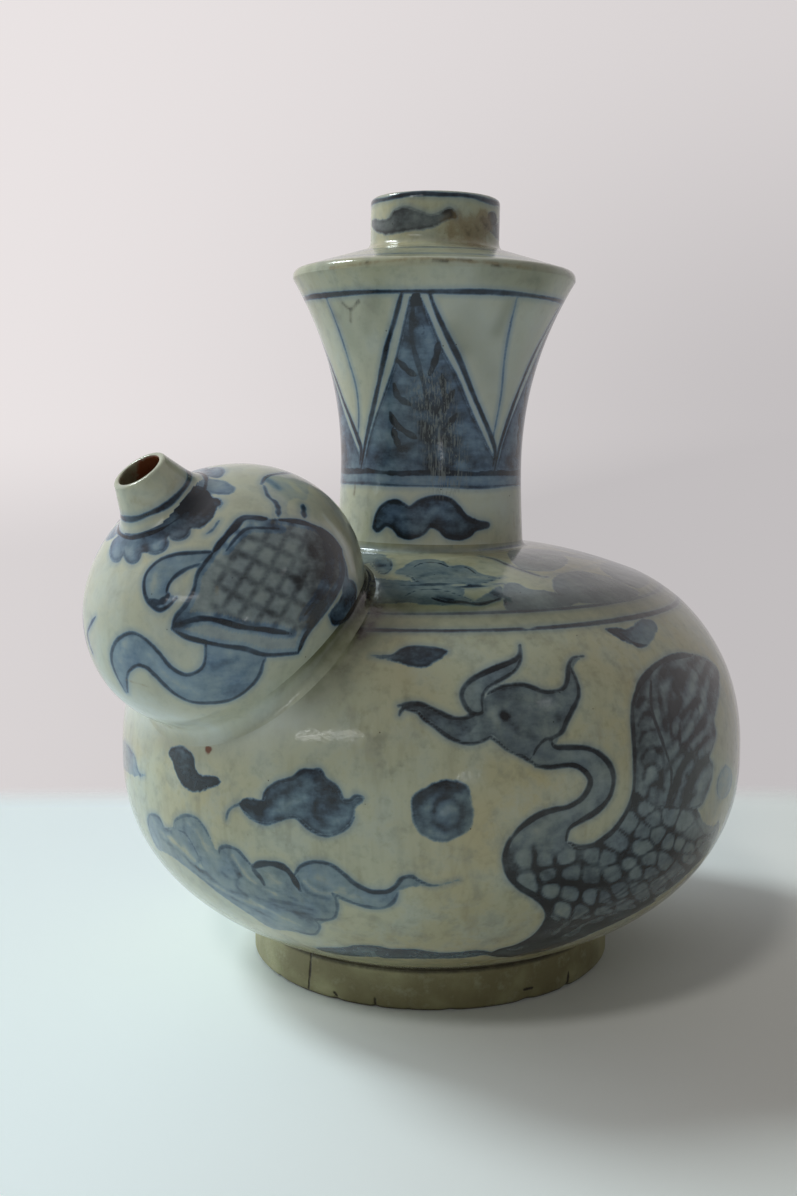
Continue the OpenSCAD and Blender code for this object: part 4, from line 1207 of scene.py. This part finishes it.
collarLines = {
    "petal1": (0.6, 0.62, [(113, 541), (109.5, 551), (112, 560), (118, 561), (122, 555), (123, 547)]),
    "petal2": (0.7, 0.72, [(124, 547), (124.5, 556), (129, 562), (136, 562), (140, 555), (139, 546)]),
    "petal3": (0.7, 0.66, [(148, 544), (148.5, 552), (156, 553.5), (164, 550), (167, 543), (164, 537)]),
    "petal4": (0.7, 0.7, [(167, 534), (173, 539), (181, 539.5), (188, 535), (190, 529)]),
    "knob": (0.8, 0.5, [(216, 500), (221, 503), (219, 508)]),
    "tick": (0.5, 0.7, [(206, 534), (212, 530), (218.5, 521)])}
collarStrokes = [
    (1.3, -0.18, [(115, 546), (115, 556)]), (1.2, -0.16, [(130, 549), (132, 557)]),
    (1.2, -0.22, [(155, 547), (160, 543)]), (1.2, -0.3, [(174, 534), (182, 533)]),
    (1.6, 0.3, [(143, 540), (145, 549)]), (2.2, 0.3, [(188, 508), (203, 511)]),
    (1.4, 0.25, [(180, 516), (192, 498)])]
collarHigh = ((152.5, 512.6), 1.2, 0.92)
collarLow = ((11.8, 28.4), 1.2, 0.97)       # radius and height of the lower line, on the slip
collarFade = ((140, 548), (190, 510), 0.52, 0.88)
collarTone = 0.42
bulbGreys = {"emblem": 0.8, "ribbon": 0.1}
bulbEdge = (0.8, 0.75, [(95, 617), (91, 623), (87, 633), (89, 645), (92, 653)])
bulbPale = 0.35                   # all of the bulb's glaze is paler
boreRust = {"least": 0.3, "more": 1.1, "pixels": (128, 152), "dustAndShade": 0.8, "margin": 0.25}
# painted shade with dirt in the crease where the bulb's slip meets the body
creaseShadeAndDirt = {"dustAndShade": (0.9, 82, 96), "soot": (1.1, 97, 106)}     # amount, heights in mm


def latticed(flat):               # soft net of lines round pale cells, closing up towards the right
    x, y = flat.T
    off = flat - np.array(lattice["cell"])
    long, wide = lattice["lengths"]
    bent = lattice["bend"] * np.column_stack([np.sin(y / long), np.sin(x / wide)])
    far = np.full(len(flat), 1e9)
    for way, space in lattice["families"]:
        step = (off + bent) @ np.array(way) / space + 0.5
        far = np.minimum(far, np.abs(step - np.round(step)) * space)
    net = lattice["pale"] + (lattice["dark"] - lattice["pale"]) * (1 - fade(far, *lattice["line"]))
    net = np.maximum(net, lattice["close"] * fade(x, *lattice["closing"]))
    low = np.array(bulbLines["emblemLow2"][2], float)
    below = y - np.interp(x, low[:, 0], low[:, 1])
    net += (lattice["plain"] - net) * fade(x, *lattice["plainTo"])
    return net + (lattice["strip"] - net) * fade(below, *lattice["stripEdge"])


def paintBulb():
    canvas = Canvas(bulbSkin, ["spoutBulb", "bulbSeam", "nozzleSeam", "spoutNozzle"])
    canvas.grey = bulbGreys["emblem"]
    canvas.area(emblem, 1.0, mirrored, latticed)
    canvas.grey = bulbGreys["ribbon"]
    for tone, pixels in bulbAreas.values():
        canvas.area(pixels, tone, mirrored)
    wipe(canvas, bulbStrokes, mirrored)
    paint(canvas, bulbLines, mirrored)
    paint(canvas, {"edge": bulbEdge})
    canvas.area(collarWash, 1.0, bothSides, across(*collarFade))
    canvas.area(collarGrey, collarTone, bothSides)
    wipe(canvas, collarStrokes, bothSides)
    paint(canvas, collarLines, bothSides)
    canvas.ring(*collarHigh)
    canvas.ringAt(*collarLow)
    layWearAndShade(canvas, bulbWearAndHighlight)
    canvas.marks["pool"] += bulbPale
    canvas.finish()
    spout, seam, rust = pieces["spoutNozzle"], pieces["bulbSeam"], boreRust
    bore = np.hypot(*bulbAxis.back(spout["verts"]).T[:2]) < nozzle["boreR"] + rust["margin"]
    column = toPixels(spout["verts"][bore])[:, 0]
    spout["marks"]["iron"][bore] = rust["least"] + rust["more"] * fade(column, *rust["pixels"])
    # painted shade inside the bore: a dark film, with rust along it
    spout["marks"]["film"][bore] = rust["dustAndShade"]
    # darkens the seam towards the body: painted shade, with dirt
    for mark, (amount, low, high) in (("film", creaseShadeAndDirt["dustAndShade"]), ("soot", creaseShadeAndDirt["soot"])):
        seam["marks"][mark] += amount * fade(seam["verts"][:, 2], low, high)


footCracks = {
    "crack": (0.7, 0.95, [(310.5, 950), (309.5, 970), (307.7, 990)]),
    "nick1": (0.8, 0.9, [(333, 992), (337, 997)]),
    "nick2": (0.6, 0.9, [(374.6, 998), (374.6, 1009)]),
    "nick3": (0.9, 0.95, [(569, 972), (568, 988)]),
    "nick4": (0.8, 0.9, [(524, 990), (533, 988)])}
footDirt = {"rim": (0.75, 0.2, 1.0), "crease": (0.9, 1.6)}      # amount, then heights from the edge in mm
footChip = 0.7                    # how far a chip also goes up
footDents = [                     # pixel, size and depth in mm
    ((374.6, 1004), 0.9, 0.5), ((335, 995), 1.2, 0.35), ((568, 982), 1.3, 0.5), ((528, 990), 2.2, 0.4),
    ((450, 1009), 1.6, 0.3), ((280, 985), 1.0, 0.4), ((408, 1008), 0.7, 0.3)]


def paintFoot():
    canvas = Canvas(footSkin, ["footRing", "footSeam"])
    paint(canvas, footCracks)
    z, top = canvas.points[:, 2], nodeBox("foot_ring")[1][2]
    (rim, low, high), (crease, deep) = footDirt["rim"], footDirt["crease"]
    canvas.marks["stain"] += rim * (1 - fade(z, low, high)) + crease * fade(z, top - deep, top)
    canvas.finish()
    verts = pieces["footRing"]["verts"]
    for pixel, size, deep in footDents:     # chips along the standing edge
        spot = footSkin.hit([pixel])[0]
        spot[2] = 0
        chip = deep * np.exp(-(np.linalg.norm(verts - spot, axis=1) / size) ** 2)
        verts[:, :2] *= (1 - chip / body["footR"])[:, None]
        verts[:, 2] += footChip * chip


paintBody()
paintNeck()
paintBulb()
paintFoot()
print("brushwork laid")


# Finishes: shader maths is written as Python expressions on values
def tint(*screen):                # screen colour to the linear one that Blender takes
    return tuple(((c / 255 + 0.055) / 1.055) ** 2.4 if c > 10 else c / 3294.6 for c in screen) + (1.0,)


class Val:
    def __init__(self, finish, socket):
        self.finish, self.socket = finish, socket

    def math(self, kind, a, b):
        return self.finish.node("ShaderNodeMath", {"operation": kind}, {0: a, 1: b})

    def __add__(self, other):
        return self.math("ADD", self, other)

    def __radd__(self, other):
        return self.math("ADD", other, self)

    def __sub__(self, other):
        return self.math("SUBTRACT", self, other)

    def __rsub__(self, other):
        return self.math("SUBTRACT", other, self)

    def __mul__(self, other):
        return self.math("MULTIPLY", self, other)

    def __rmul__(self, other):
        return self.math("MULTIPLY", other, self)

    def most(self, other):
        return self.math("MAXIMUM", self, other)

    def least(self, other):
        return self.math("MINIMUM", self, other)

    def fade(self, low, high):    # 0 below low, 1 above high, eased between
        return self.finish.node("ShaderNodeMapRange", {"interpolation_type": "SMOOTHSTEP"},
                                {0: self, 1: low, 2: high, 3: 0.0, 4: 1.0})


def mottled(amounts, *noises):    # an even amount, then a share of each noise
    total = amounts[0]
    for amount, noise in zip(amounts[1:], noises):
        total = total + noise * amount
    return total


class Finish:
    def __init__(self, holder):
        holder.use_nodes = True
        self.tree = holder.node_tree
        self.tree.nodes.clear()
        self.object = None

    def node(self, kind, settings=None, sockets=None, output=0):
        made = self.tree.nodes.new(kind)
        for key, value in (settings or {}).items():
            if key == "stops":
                while len(made.color_ramp.elements) < len(value):
                    made.color_ramp.elements.new(0.5)
                for stop, (place, colour) in zip(made.color_ramp.elements, value):
                    stop.position, stop.color = place, colour
            else:
                setattr(made, key, value)
        for key, value in (sockets or {}).items():
            if isinstance(value, Val):
                self.tree.links.new(value.socket, made.inputs[key])
            else:
                made.inputs[key].default_value = value
        return Val(self, made.outputs[output]) if len(made.outputs) else None

    def place(self):              # position on the pot, in metres
        if self.object is None:
            self.object = self.node("ShaderNodeTexCoord", output="Object")
        return self.object

    def stretched(self, x, y, z):
        return self.node("ShaderNodeVectorMath", {"operation": "MULTIPLY"}, {0: self.place(), 1: (x, y, z)})

    def noise(self, size, detail, rough=0.5, stretch=None):
        return self.node("ShaderNodeTexNoise", {}, {
            "Vector": self.stretched(*stretch) if stretch else self.place(), "Scale": 1 / (size * mm),
            "Detail": detail, "Roughness": rough})

    def cells(self, size, feature="F1", stretch=None):
        return self.node("ShaderNodeTexVoronoi", {"feature": feature}, {
            "Vector": self.stretched(*stretch) if stretch else self.place(), "Scale": 1 / (size * mm)})

    def mark(self, name):
        return self.node("ShaderNodeAttribute", {"attribute_name": name}, output="Fac")

    def mix(self, factor, a, b, blend="MIX"):
        kind = {"data_type": "RGBA", "blend_type": blend}
        return self.node("ShaderNodeMix", kind, {0: factor, 6: a, 7: b}, 2)

    def toward(self, vector, way):
        kind = {"operation": "DOT_PRODUCT"}
        return self.node("ShaderNodeVectorMath", kind, {0: vector, 1: tuple(way)}, "Value")

    def bump(self, height, distance):
        return self.node("ShaderNodeBump", {}, {"Height": height, "Distance": distance})

    def shown(self):              # 1 on rays that show a surface, 0 on those that only carry light
        kinds = ("Is Camera Ray", "Is Glossy Ray", "Is Transmission Ray")
        seen, mirrored, through = (self.node("ShaderNodeLightPath", output=kind) for kind in kinds)
        return (seen + mirrored + through).least(1.0)

    def surface(self, **sockets):
        named = {k.replace("_", " "): v for k, v in sockets.items()}
        shader = self.node("ShaderNodeBsdfPrincipled", {}, named)
        self.node("ShaderNodeOutputMaterial", {}, {"Surface": shader})


glaze = {"cream": tint(178, 181, 157), "warm": tint(176, 166, 128), "cool": tint(174, 184, 176),
         "pool": tint(204, 211, 204), "stain": tint(134, 116, 82), "dirt": tint(44, 36, 26),
         "speck": tint(62, 48, 32), "crackle": tint(112, 106, 82), "scratch": tint(126, 134, 134),
         "film": tint(108, 111, 86), "ash": tint(120, 124, 116), "iron": tint(112, 58, 32), "roughness": 0.13,
         "dimples": 0.14 * mm,
         "cobalt": [(0.0, tint(178, 181, 157)), (0.25, tint(123, 145, 153)), (0.45, tint(88, 115, 132)),
                    (0.65, tint(59, 83, 102)), (0.82, tint(36, 54, 69)), (1.0, tint(18, 28, 37))]}
glazeNoise = {                    # size of the blotches in mm, detail, roughness, stretch
    "broad": (40, 3), "patch": (8, 4, 0.62), "thick": (4, 3, 0.6), "grain": (2.2, 3, 0.6), "fine": (0.6, 2),
    "runs": (5, 3, 0.6, (1, 1, 0.16)),                # glaze run down the wall
    "brush": (3.2, 3, 0.6, (0.45, 0.45, 1.3)),        # level hairs of the brush
    "hairs": (0.45, 2, 0.6, (1, 1, 0.1)), "slant": (0.5, 2, 0.6, (1, 1, 0.35)),
    "dusty": (11, 1), "dimple": (4.5, 2)}
glazeCoats = [                    # noise, where the tone sets in and is full, how much of it, tone
    ("broad", (0.4, 0.72), 0.8, "warm"), ("patch", (0.42, 0.72), 0.55, "cool"),
    ("thick", (0.48, 0.72), 0.3, "film"), ("runs", (0.48, 0.75), 0.28, "crackle"),
    ("grain", (0.5, 0.75), 0.22, "film")]
glazeFilmsAndShade = {"pool": (0.3, 0.9), "film": (0.5, 1.0)}
crazing = {"size": 5, "stretch": (1, 1, 0.8), "width": (0.0, 0.04), "where": (0.42, 0.65), "amount": 0.07}
specks = {"size": 4.5, "radius": 0.055, "edge": (0.0, 0.03), "where": (0.46, 0.56), "amount": 0.85}
strokeLook = {"uneven": (0.3, 0.7), "wobble": 0.9, "fineWobble": 0.4, "inkWobble": 0.32,
             "washEdge": (-0.5, 0.55), "washMottle": (0.52, 0.44, 0.28, 0.16), "pool": 0.25,
             "poolEdge": (0.1, 1.2), "inkEdge": (-0.42, 0.36), "inkMottle": (0.74, 0.3, 0.2), "bleed": 0.14,
             "bleedEdge": (-1.8, 0.1), "grey": (0.65, 0.5), "greyFrom": (0.02, 0.3), "ash": 0.8}
glazeMarks = {"hairs": (0.5, 0.6), "hairGrain": (0.3, 0.55), "slant": (0.58, 0.66), "scratch": (0.15, 0.8),
              "scratched": 0.62, "soil": (0.4, 0.55, 0.4), "stain": (0.05, 0.6), "stained": 0.75,
              "dirt": (0.6, 1.15), "dirty": 0.9, "soot": (0.55, 0.5), "rust": (0.4, 0.8), "iron": (0.1, 0.8),
              "rusty": 0.95, "roughPatch": 0.12, "roughSoil": 0.3, "leastRough": 0.06}
dimples = {"dimple": 0.8, "fine": 0.08, "grain": 0.2, "runs": 0.3}


def glazeFinish():
    material = bpy.data.materials.new("blueAndWhiteGlaze")
    f, b, m = Finish(material), strokeLook, glazeMarks
    noise = {name: f.noise(*row) for name, row in glazeNoise.items()}
    broad, patch, grain, fine = (noise[name] for name in ("broad", "patch", "grain", "fine"))
    base = glaze["cream"]
    for cloudy, span, share, name in glazeCoats:
        base = f.mix(noise[cloudy].fade(*span) * share, base, glaze[name])
    # pale pooled glaze, which on the bulb's right also holds a painted highlight; dull film, which is dust on
    # the neck and painted shade on the shoulder, in the creases and on shaded sides
    for name, amounts in glazeFilmsAndShade.items():
        base = f.mix(f.mark(name).least(1.0) * mottled(amounts, patch), base, glaze[name])
    lines = 1 - f.cells(crazing["size"], "DISTANCE_TO_EDGE", crazing["stretch"]).fade(*crazing["width"])
    base = f.mix(lines * broad.fade(*crazing["where"]) * crazing["amount"], base, glaze["crackle"])
    dots = (specks["radius"] - f.cells(specks["size"])).fade(*specks["edge"])
    base = f.mix(dots * noise["dusty"].fade(*specks["where"]) * specks["amount"], base, glaze["speck"])
    wobble = (grain - 0.5) * b["wobble"] + (fine - 0.5) * b["fineWobble"]
    ink = f.mark("ink") + wobble * b["inkWobble"]
    wash = f.mark("wash") + wobble
    patchy, brush, grains = (noise[name].fade(*b["uneven"]) for name in ("patch", "brush", "grain"))
    pooled = 1 + b["pool"] * (1 - wash.fade(*b["poolEdge"]))
    washed = wash.fade(*b["washEdge"]) * f.mark("washTone").most(0.0)
    washed = washed * mottled(b["washMottle"], patchy, brush, grains) * pooled
    inked = ink.fade(*b["inkEdge"]) * f.mark("inkTone") * mottled(b["inkMottle"], patchy, brush)
    bleed = ink.fade(*b["bleedEdge"]) * b["bleed"]
    density = washed.most(inked).most(bleed).least(1.0)
    thin = [(place, tuple(min(1.0, c / g) for c, g in zip(pigment, glaze["cream"])))
            for place, pigment in glaze["cobalt"]]
    cobalt = f.node("ShaderNodeValToRGB", {"stops": thin}, {"Fac": density})    # what pigment lets through
    colour = f.mix(1.0, base, cobalt, "MULTIPLY")
    greyed = f.mark("grey").least(1.0) * mottled(b["grey"], broad) * density.fade(*b["greyFrom"])
    colour = f.mix(greyed, colour, f.mix(b["ash"], colour, glaze["ash"], "COLOR"))
    hairs = noise["hairs"].fade(*m["hairs"]) * grain.fade(*m["hairGrain"])
    worn = hairs.most(noise["slant"].fade(*m["slant"])) * f.mark("scratch").fade(*m["scratch"])
    colour = f.mix(worn * m["scratched"], colour, glaze["scratch"])
    soil = f.mark("stain") * mottled(m["soil"], grains, patchy)
    colour = f.mix(soil.fade(*m["stain"]) * m["stained"], colour, glaze["stain"])
    colour = f.mix(soil.fade(*m["dirt"]) * m["dirty"], colour, glaze["dirt"])
    # dark mark: real specks on the neck, painted shadow in the creases under the bulb
    colour = f.mix(f.mark("soot").least(1.0) * mottled(m["soot"], grains), colour, glaze["dirt"])
    rust = f.mark("iron") * mottled(m["rust"], grains)
    colour = f.mix(rust.fade(*m["iron"]) * m["rusty"], colour, glaze["iron"])
    rough = glaze["roughness"] + (patch - 0.5) * m["roughPatch"] + soil.least(1.0) * m["roughSoil"]
    height = mottled((0.0, *dimples.values()), *(noise[name] for name in dimples))
    f.surface(Base_Color=colour, Roughness=rough.most(m["leastRough"]),
              Normal=f.bump(height, glaze["dimples"]))
    return material


clay = {"cream": tint(178, 175, 136), "dark": tint(134, 127, 92), "pale": tint(188, 186, 156),
        "dirt": tint(46, 38, 26), "roughness": 0.62, "grit": 0.45 * mm}
clayNoise = {"broad": (16, 3), "patch": (4, 4, 0.65), "grain": (0.9, 3, 0.6),
             "wiped": (6, 4, 0.65, (0.4, 0.4, 2.2))}  # level marks of the turning
clayCoats = [("broad", (0.35, 0.65), 1.0, "dark"), ("patch", (0.5, 0.75), 0.5, "pale"),
             ("wiped", (0.52, 0.75), 0.4, "dark")]
clayMarks = {"soil": (0.3, 0.8, 0.5), "dirt": (0.15, 0.9), "dirty": 0.85, "wobble": 0.4, "crack": (-0.2, 0.2),
             "cracked": 0.95, "grit": (0.0, 0.5, 0.4, 0.4, -0.8), "roughGrain": 0.2}


def clayFinish():
    material = bpy.data.materials.new("bareClay")
    f, m = Finish(material), clayMarks
    noise = {name: f.noise(*row) for name, row in clayNoise.items()}
    patch, grain = noise["patch"], noise["grain"]
    base = clay["cream"]
    for cloudy, span, share, name in clayCoats:
        base = f.mix(noise[cloudy].fade(*span) * share, base, clay[name])
    soil = f.mark("stain") * mottled(m["soil"], patch, grain)
    base = f.mix(soil.fade(*m["dirt"]) * m["dirty"], base, clay["dirt"])
    crack = (f.mark("ink") + (grain - 0.5) * m["wobble"]).fade(*m["crack"])
    base = f.mix(crack * m["cracked"], base, clay["dirt"])
    rough = clay["roughness"] + (grain - 0.5) * m["roughGrain"]
    height = mottled(m["grit"], patch, grain, noise["wiped"], crack)
    f.surface(Base_Color=base, Roughness=rough, Normal=f.bump(height, clay["grit"]))
    return material


# Pieces become Blender objects that stand for the CAD nodes
stands = {"lowerBody": "lower_body", "bellySeam": "belly_seam", "upperBody": "upper_body",
          "neckSeam": "neck_seam", "neckTube": "neck", "flangeSeam": "flange_seam", "mouthRim": "mouth",
          "spoutBulb": "spout_bulb", "bulbSeam": "bulb_seam", "spoutNozzle": "spout_nozzle",
          "nozzleSeam": "nozzle_seam", "footRing": "foot_ring", "footSeam": "foot_seam"}


def addObjects():
    finishes = {"glaze": glazeFinish(), "clay": clayFinish()}
    for name, node in stands.items():
        piece = pieces[name]
        mesh = bpy.data.meshes.new(name)
        mesh.from_pydata((handThrown(piece["verts"]) * mm).tolist(), [], piece["faces"])
        mesh.shade_smooth()
        edges = np.empty(len(mesh.edges) * 2, int)
        mesh.edges.foreach_get("vertices", edges)
        ring = np.where(edges < piece["size"], edges // piece["around"], -1).reshape(-1, 2)
        sharp = (ring[:, 0] == ring[:, 1]) & np.isin(ring[:, 0], piece["sharp"])
        mesh.attributes.new("sharp_edge", "BOOLEAN", "EDGE").data.foreach_set("value", sharp)
        for mark, values in piece["marks"].items():
            mesh.attributes.new(mark, "FLOAT", "POINT").data.foreach_set("value", values.astype(np.float32))
        bare = name in ("footRing", "footSeam")
        mesh.materials.append(finishes["clay" if bare else "glaze"])
        thing = bpy.data.objects.new(name, mesh)
        bpy.context.scene.collection.objects.link(thing)
        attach(thing, "root")
        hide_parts(node)


addObjects()
print("pieces placed")


# Stage: pale table and backdrop, both with painted shade, soft light from the left
stage = {"size": 3.0, "floor": tint(244, 252, 255), "floorShade": tint(222, 222, 220), "shadeSpan": (-0.06, 0.14),
         "shadeWay": (1, -0.35, 0), "lift": 0.03, "bounce": 0.95, "roughness": 0.7, "tableEnd": 0.147,
         "edgeBlur": 0.018, "paleWall": tint(234, 228, 228), "shadedWall": tint(194, 190, 191),
         "wallSide": (-0.34, 0.34), "wallUp": (0.3, 0.0), "wallLow": (0.0, -0.1), "lowShade": 0.45,
         "wallAhead": (-0.55, 0.3), "nearSide": 0.42, "cool": tint(238, 250, 255),
         "key": (-0.821, 0.513, 0.249), "keyLevel": 3.5, "keyEdge": (0.84, 0.97), "warm": tint(255, 250, 232),
         "room": 0.02, "near": 0.07, "nearEdge": (0.2, -0.8)}
black = (0.0, 0.0, 0.0, 1.0)


def stagePlace(right, forward, up):         # place in metres: to the camera's right, away from it, and up
    flat = np.array([forwardWay[0], forwardWay[1], 0])
    flat /= np.linalg.norm(flat)
    side = np.array([flat[1], -flat[0], 0])
    return right * side + forward * flat + np.array([0, 0, up])


def addFloor():
    s, size = stage, stage["size"]
    mesh = bpy.data.meshes.new("table")
    corners = [(-size, -size, 0), (size, -size, 0), (size, size, 0), (-size, size, 0)]
    mesh.from_pydata(corners, [], [(0, 1, 2, 3)])
    table = bpy.data.objects.new("table", mesh)
    bpy.context.scene.collection.objects.link(table)
    material = bpy.data.materials.new("paleTable")
    f = Finish(material)
    away = f.toward(f.place(), stagePlace(0, 1, 0))
    beyond = away.fade(s["tableEnd"] - s["edgeBlur"], s["tableEnd"] + s["edgeBlur"])
    # painted shade: the table's colour darkens towards the right
    side = f.toward(f.place(), stagePlace(*s["shadeWay"]))
    seen = f.shown()
    colour = f.mix(side.fade(*s["shadeSpan"]), s["floor"], s["floorShade"])
    colour = f.mix(seen * (1 - s["bounce"]) + s["bounce"], black, colour)
    lit = f.node("ShaderNodeBsdfPrincipled", {}, {
        "Base Color": colour, "Roughness": s["roughness"], "Emission Strength": s["lift"],
        "Emission Color": f.mix(seen, black, colour)})
    clear = f.node("ShaderNodeBsdfTransparent")
    mixed = f.node("ShaderNodeMixShader", {}, {0: beyond, 1: lit, 2: clear})
    f.node("ShaderNodeOutputMaterial", {}, {"Surface": mixed})
    mesh.materials.append(material)


def addWorld():
    s = stage
    world = bpy.data.worlds.new("studio")
    bpy.context.scene.world = world
    f = Finish(world)
    way = f.node("ShaderNodeTexCoord", output="Generated")
    right, ahead, up = (f.toward(way, stagePlace(*axis)) for axis in ((1, 0, 0), (0, 1, 0), (0, 0, 1)))
    key = np.array(s["key"]) / np.linalg.norm(s["key"])
    lobe = f.toward(way, stagePlace(*key)).fade(*s["keyEdge"])
    colour = f.mix(lobe, black, s["cool"])
    light = f.node("ShaderNodeBackground", {}, {"Color": colour, "Strength": s["keyLevel"]})
    fill = ahead.fade(*s["nearEdge"]) * s["near"] + s["room"]
    fill = f.node("ShaderNodeBackground", {}, {"Color": f.mix(fill, black, s["warm"])})
    light = f.node("ShaderNodeAddShader", {}, {0: light, 1: fill})
    # backdrop that the camera sees: painted shade, darker to the right and low down, and dimmer on the near
    # side
    shade = right.fade(*s["wallSide"]) * (0.5 + 0.5 * up.fade(*s["wallUp"]))
    shade = shade + s["lowShade"] * up.fade(*s["wallLow"])
    wall = f.mix(shade.least(1.0), s["paleWall"], s["shadedWall"])
    level = s["nearSide"] + (1 - s["nearSide"]) * ahead.fade(*s["wallAhead"])
    wall = f.node("ShaderNodeBackground", {}, {"Color": f.mix(level, black, wall)})
    mixed = f.node("ShaderNodeMixShader", {}, {0: f.shown(), 1: light, 2: wall})
    f.node("ShaderNodeOutputWorld", {}, {"Surface": mixed})


lamps = {"strip": {"from": (-1.31, -1.16, 0.62), "to": (-0.73, -1.54, 0.76), "width": 0.024, "power": 0.9},
         "spark": {"from": (0.46, -0.5, 0.54), "to": (0.5, -0.5, 0.54), "width": 0.03, "power": 0.02},
         "front": {"from": (0.08, -0.55, 0.09), "to": (0.11, -0.55, 0.09), "width": 0.012, "power": 0.012}}
aim = (0, 0, 0.1)                 # lamps face this point on the pot
suns = {"window": {"from": (-0.628, 0.266, 0.731), "level": 1.4, "angle": 14.0, "color": tint(240, 254, 255)},
        "ceiling": {"from": (-0.34, -0.5, 0.8), "level": 0.46, "angle": 9.0, "color": tint(255, 251, 242)},
        "sky": {"from": (0.03, 0.1, 0.99), "level": 0.34, "angle": 90.0, "color": tint(255, 252, 250)}}


def addLamps():
    for name, lamp in lamps.items():
        start, end = stagePlace(*lamp["from"]), stagePlace(*lamp["to"])
        data = bpy.data.lights.new(name, "AREA")
        data.shape = "RECTANGLE"
        data.size, data.size_y = np.linalg.norm(end - start), lamp["width"]
        data.energy = lamp["power"]
        at = (start + end) / 2
        back = at - np.array(aim)
        long = end - start
        back -= (back @ long) / (long @ long) * long
        back /= np.linalg.norm(back)
        long /= np.linalg.norm(long)
        turn = np.eye(4)
        turn[:3, :3] = np.column_stack([long, np.cross(back, long), back])
        turn[:3, 3] = at
        thing = bpy.data.objects.new(name, data)
        thing.matrix_world = Matrix(turn.tolist())
        bpy.context.scene.collection.objects.link(thing)


def addSuns():
    for name, far in suns.items():
        data = bpy.data.lights.new(name, "SUN")
        data.energy, data.angle = far["level"], math.radians(far["angle"])
        data.color = far["color"][:3]
        thing = bpy.data.objects.new(name, data)
        thing.rotation_euler = Vector(stagePlace(*far["from"])).to_track_quat("Z", "Y").to_euler()
        thing.visible_glossy = name == "window"       # the others would mirror as plain discs
        bpy.context.scene.collection.objects.link(thing)


addCamera()
addFloor()
addWorld()
addLamps()
addSuns()
bpy.context.scene.view_settings.view_transform = "Standard"
print("stage set")
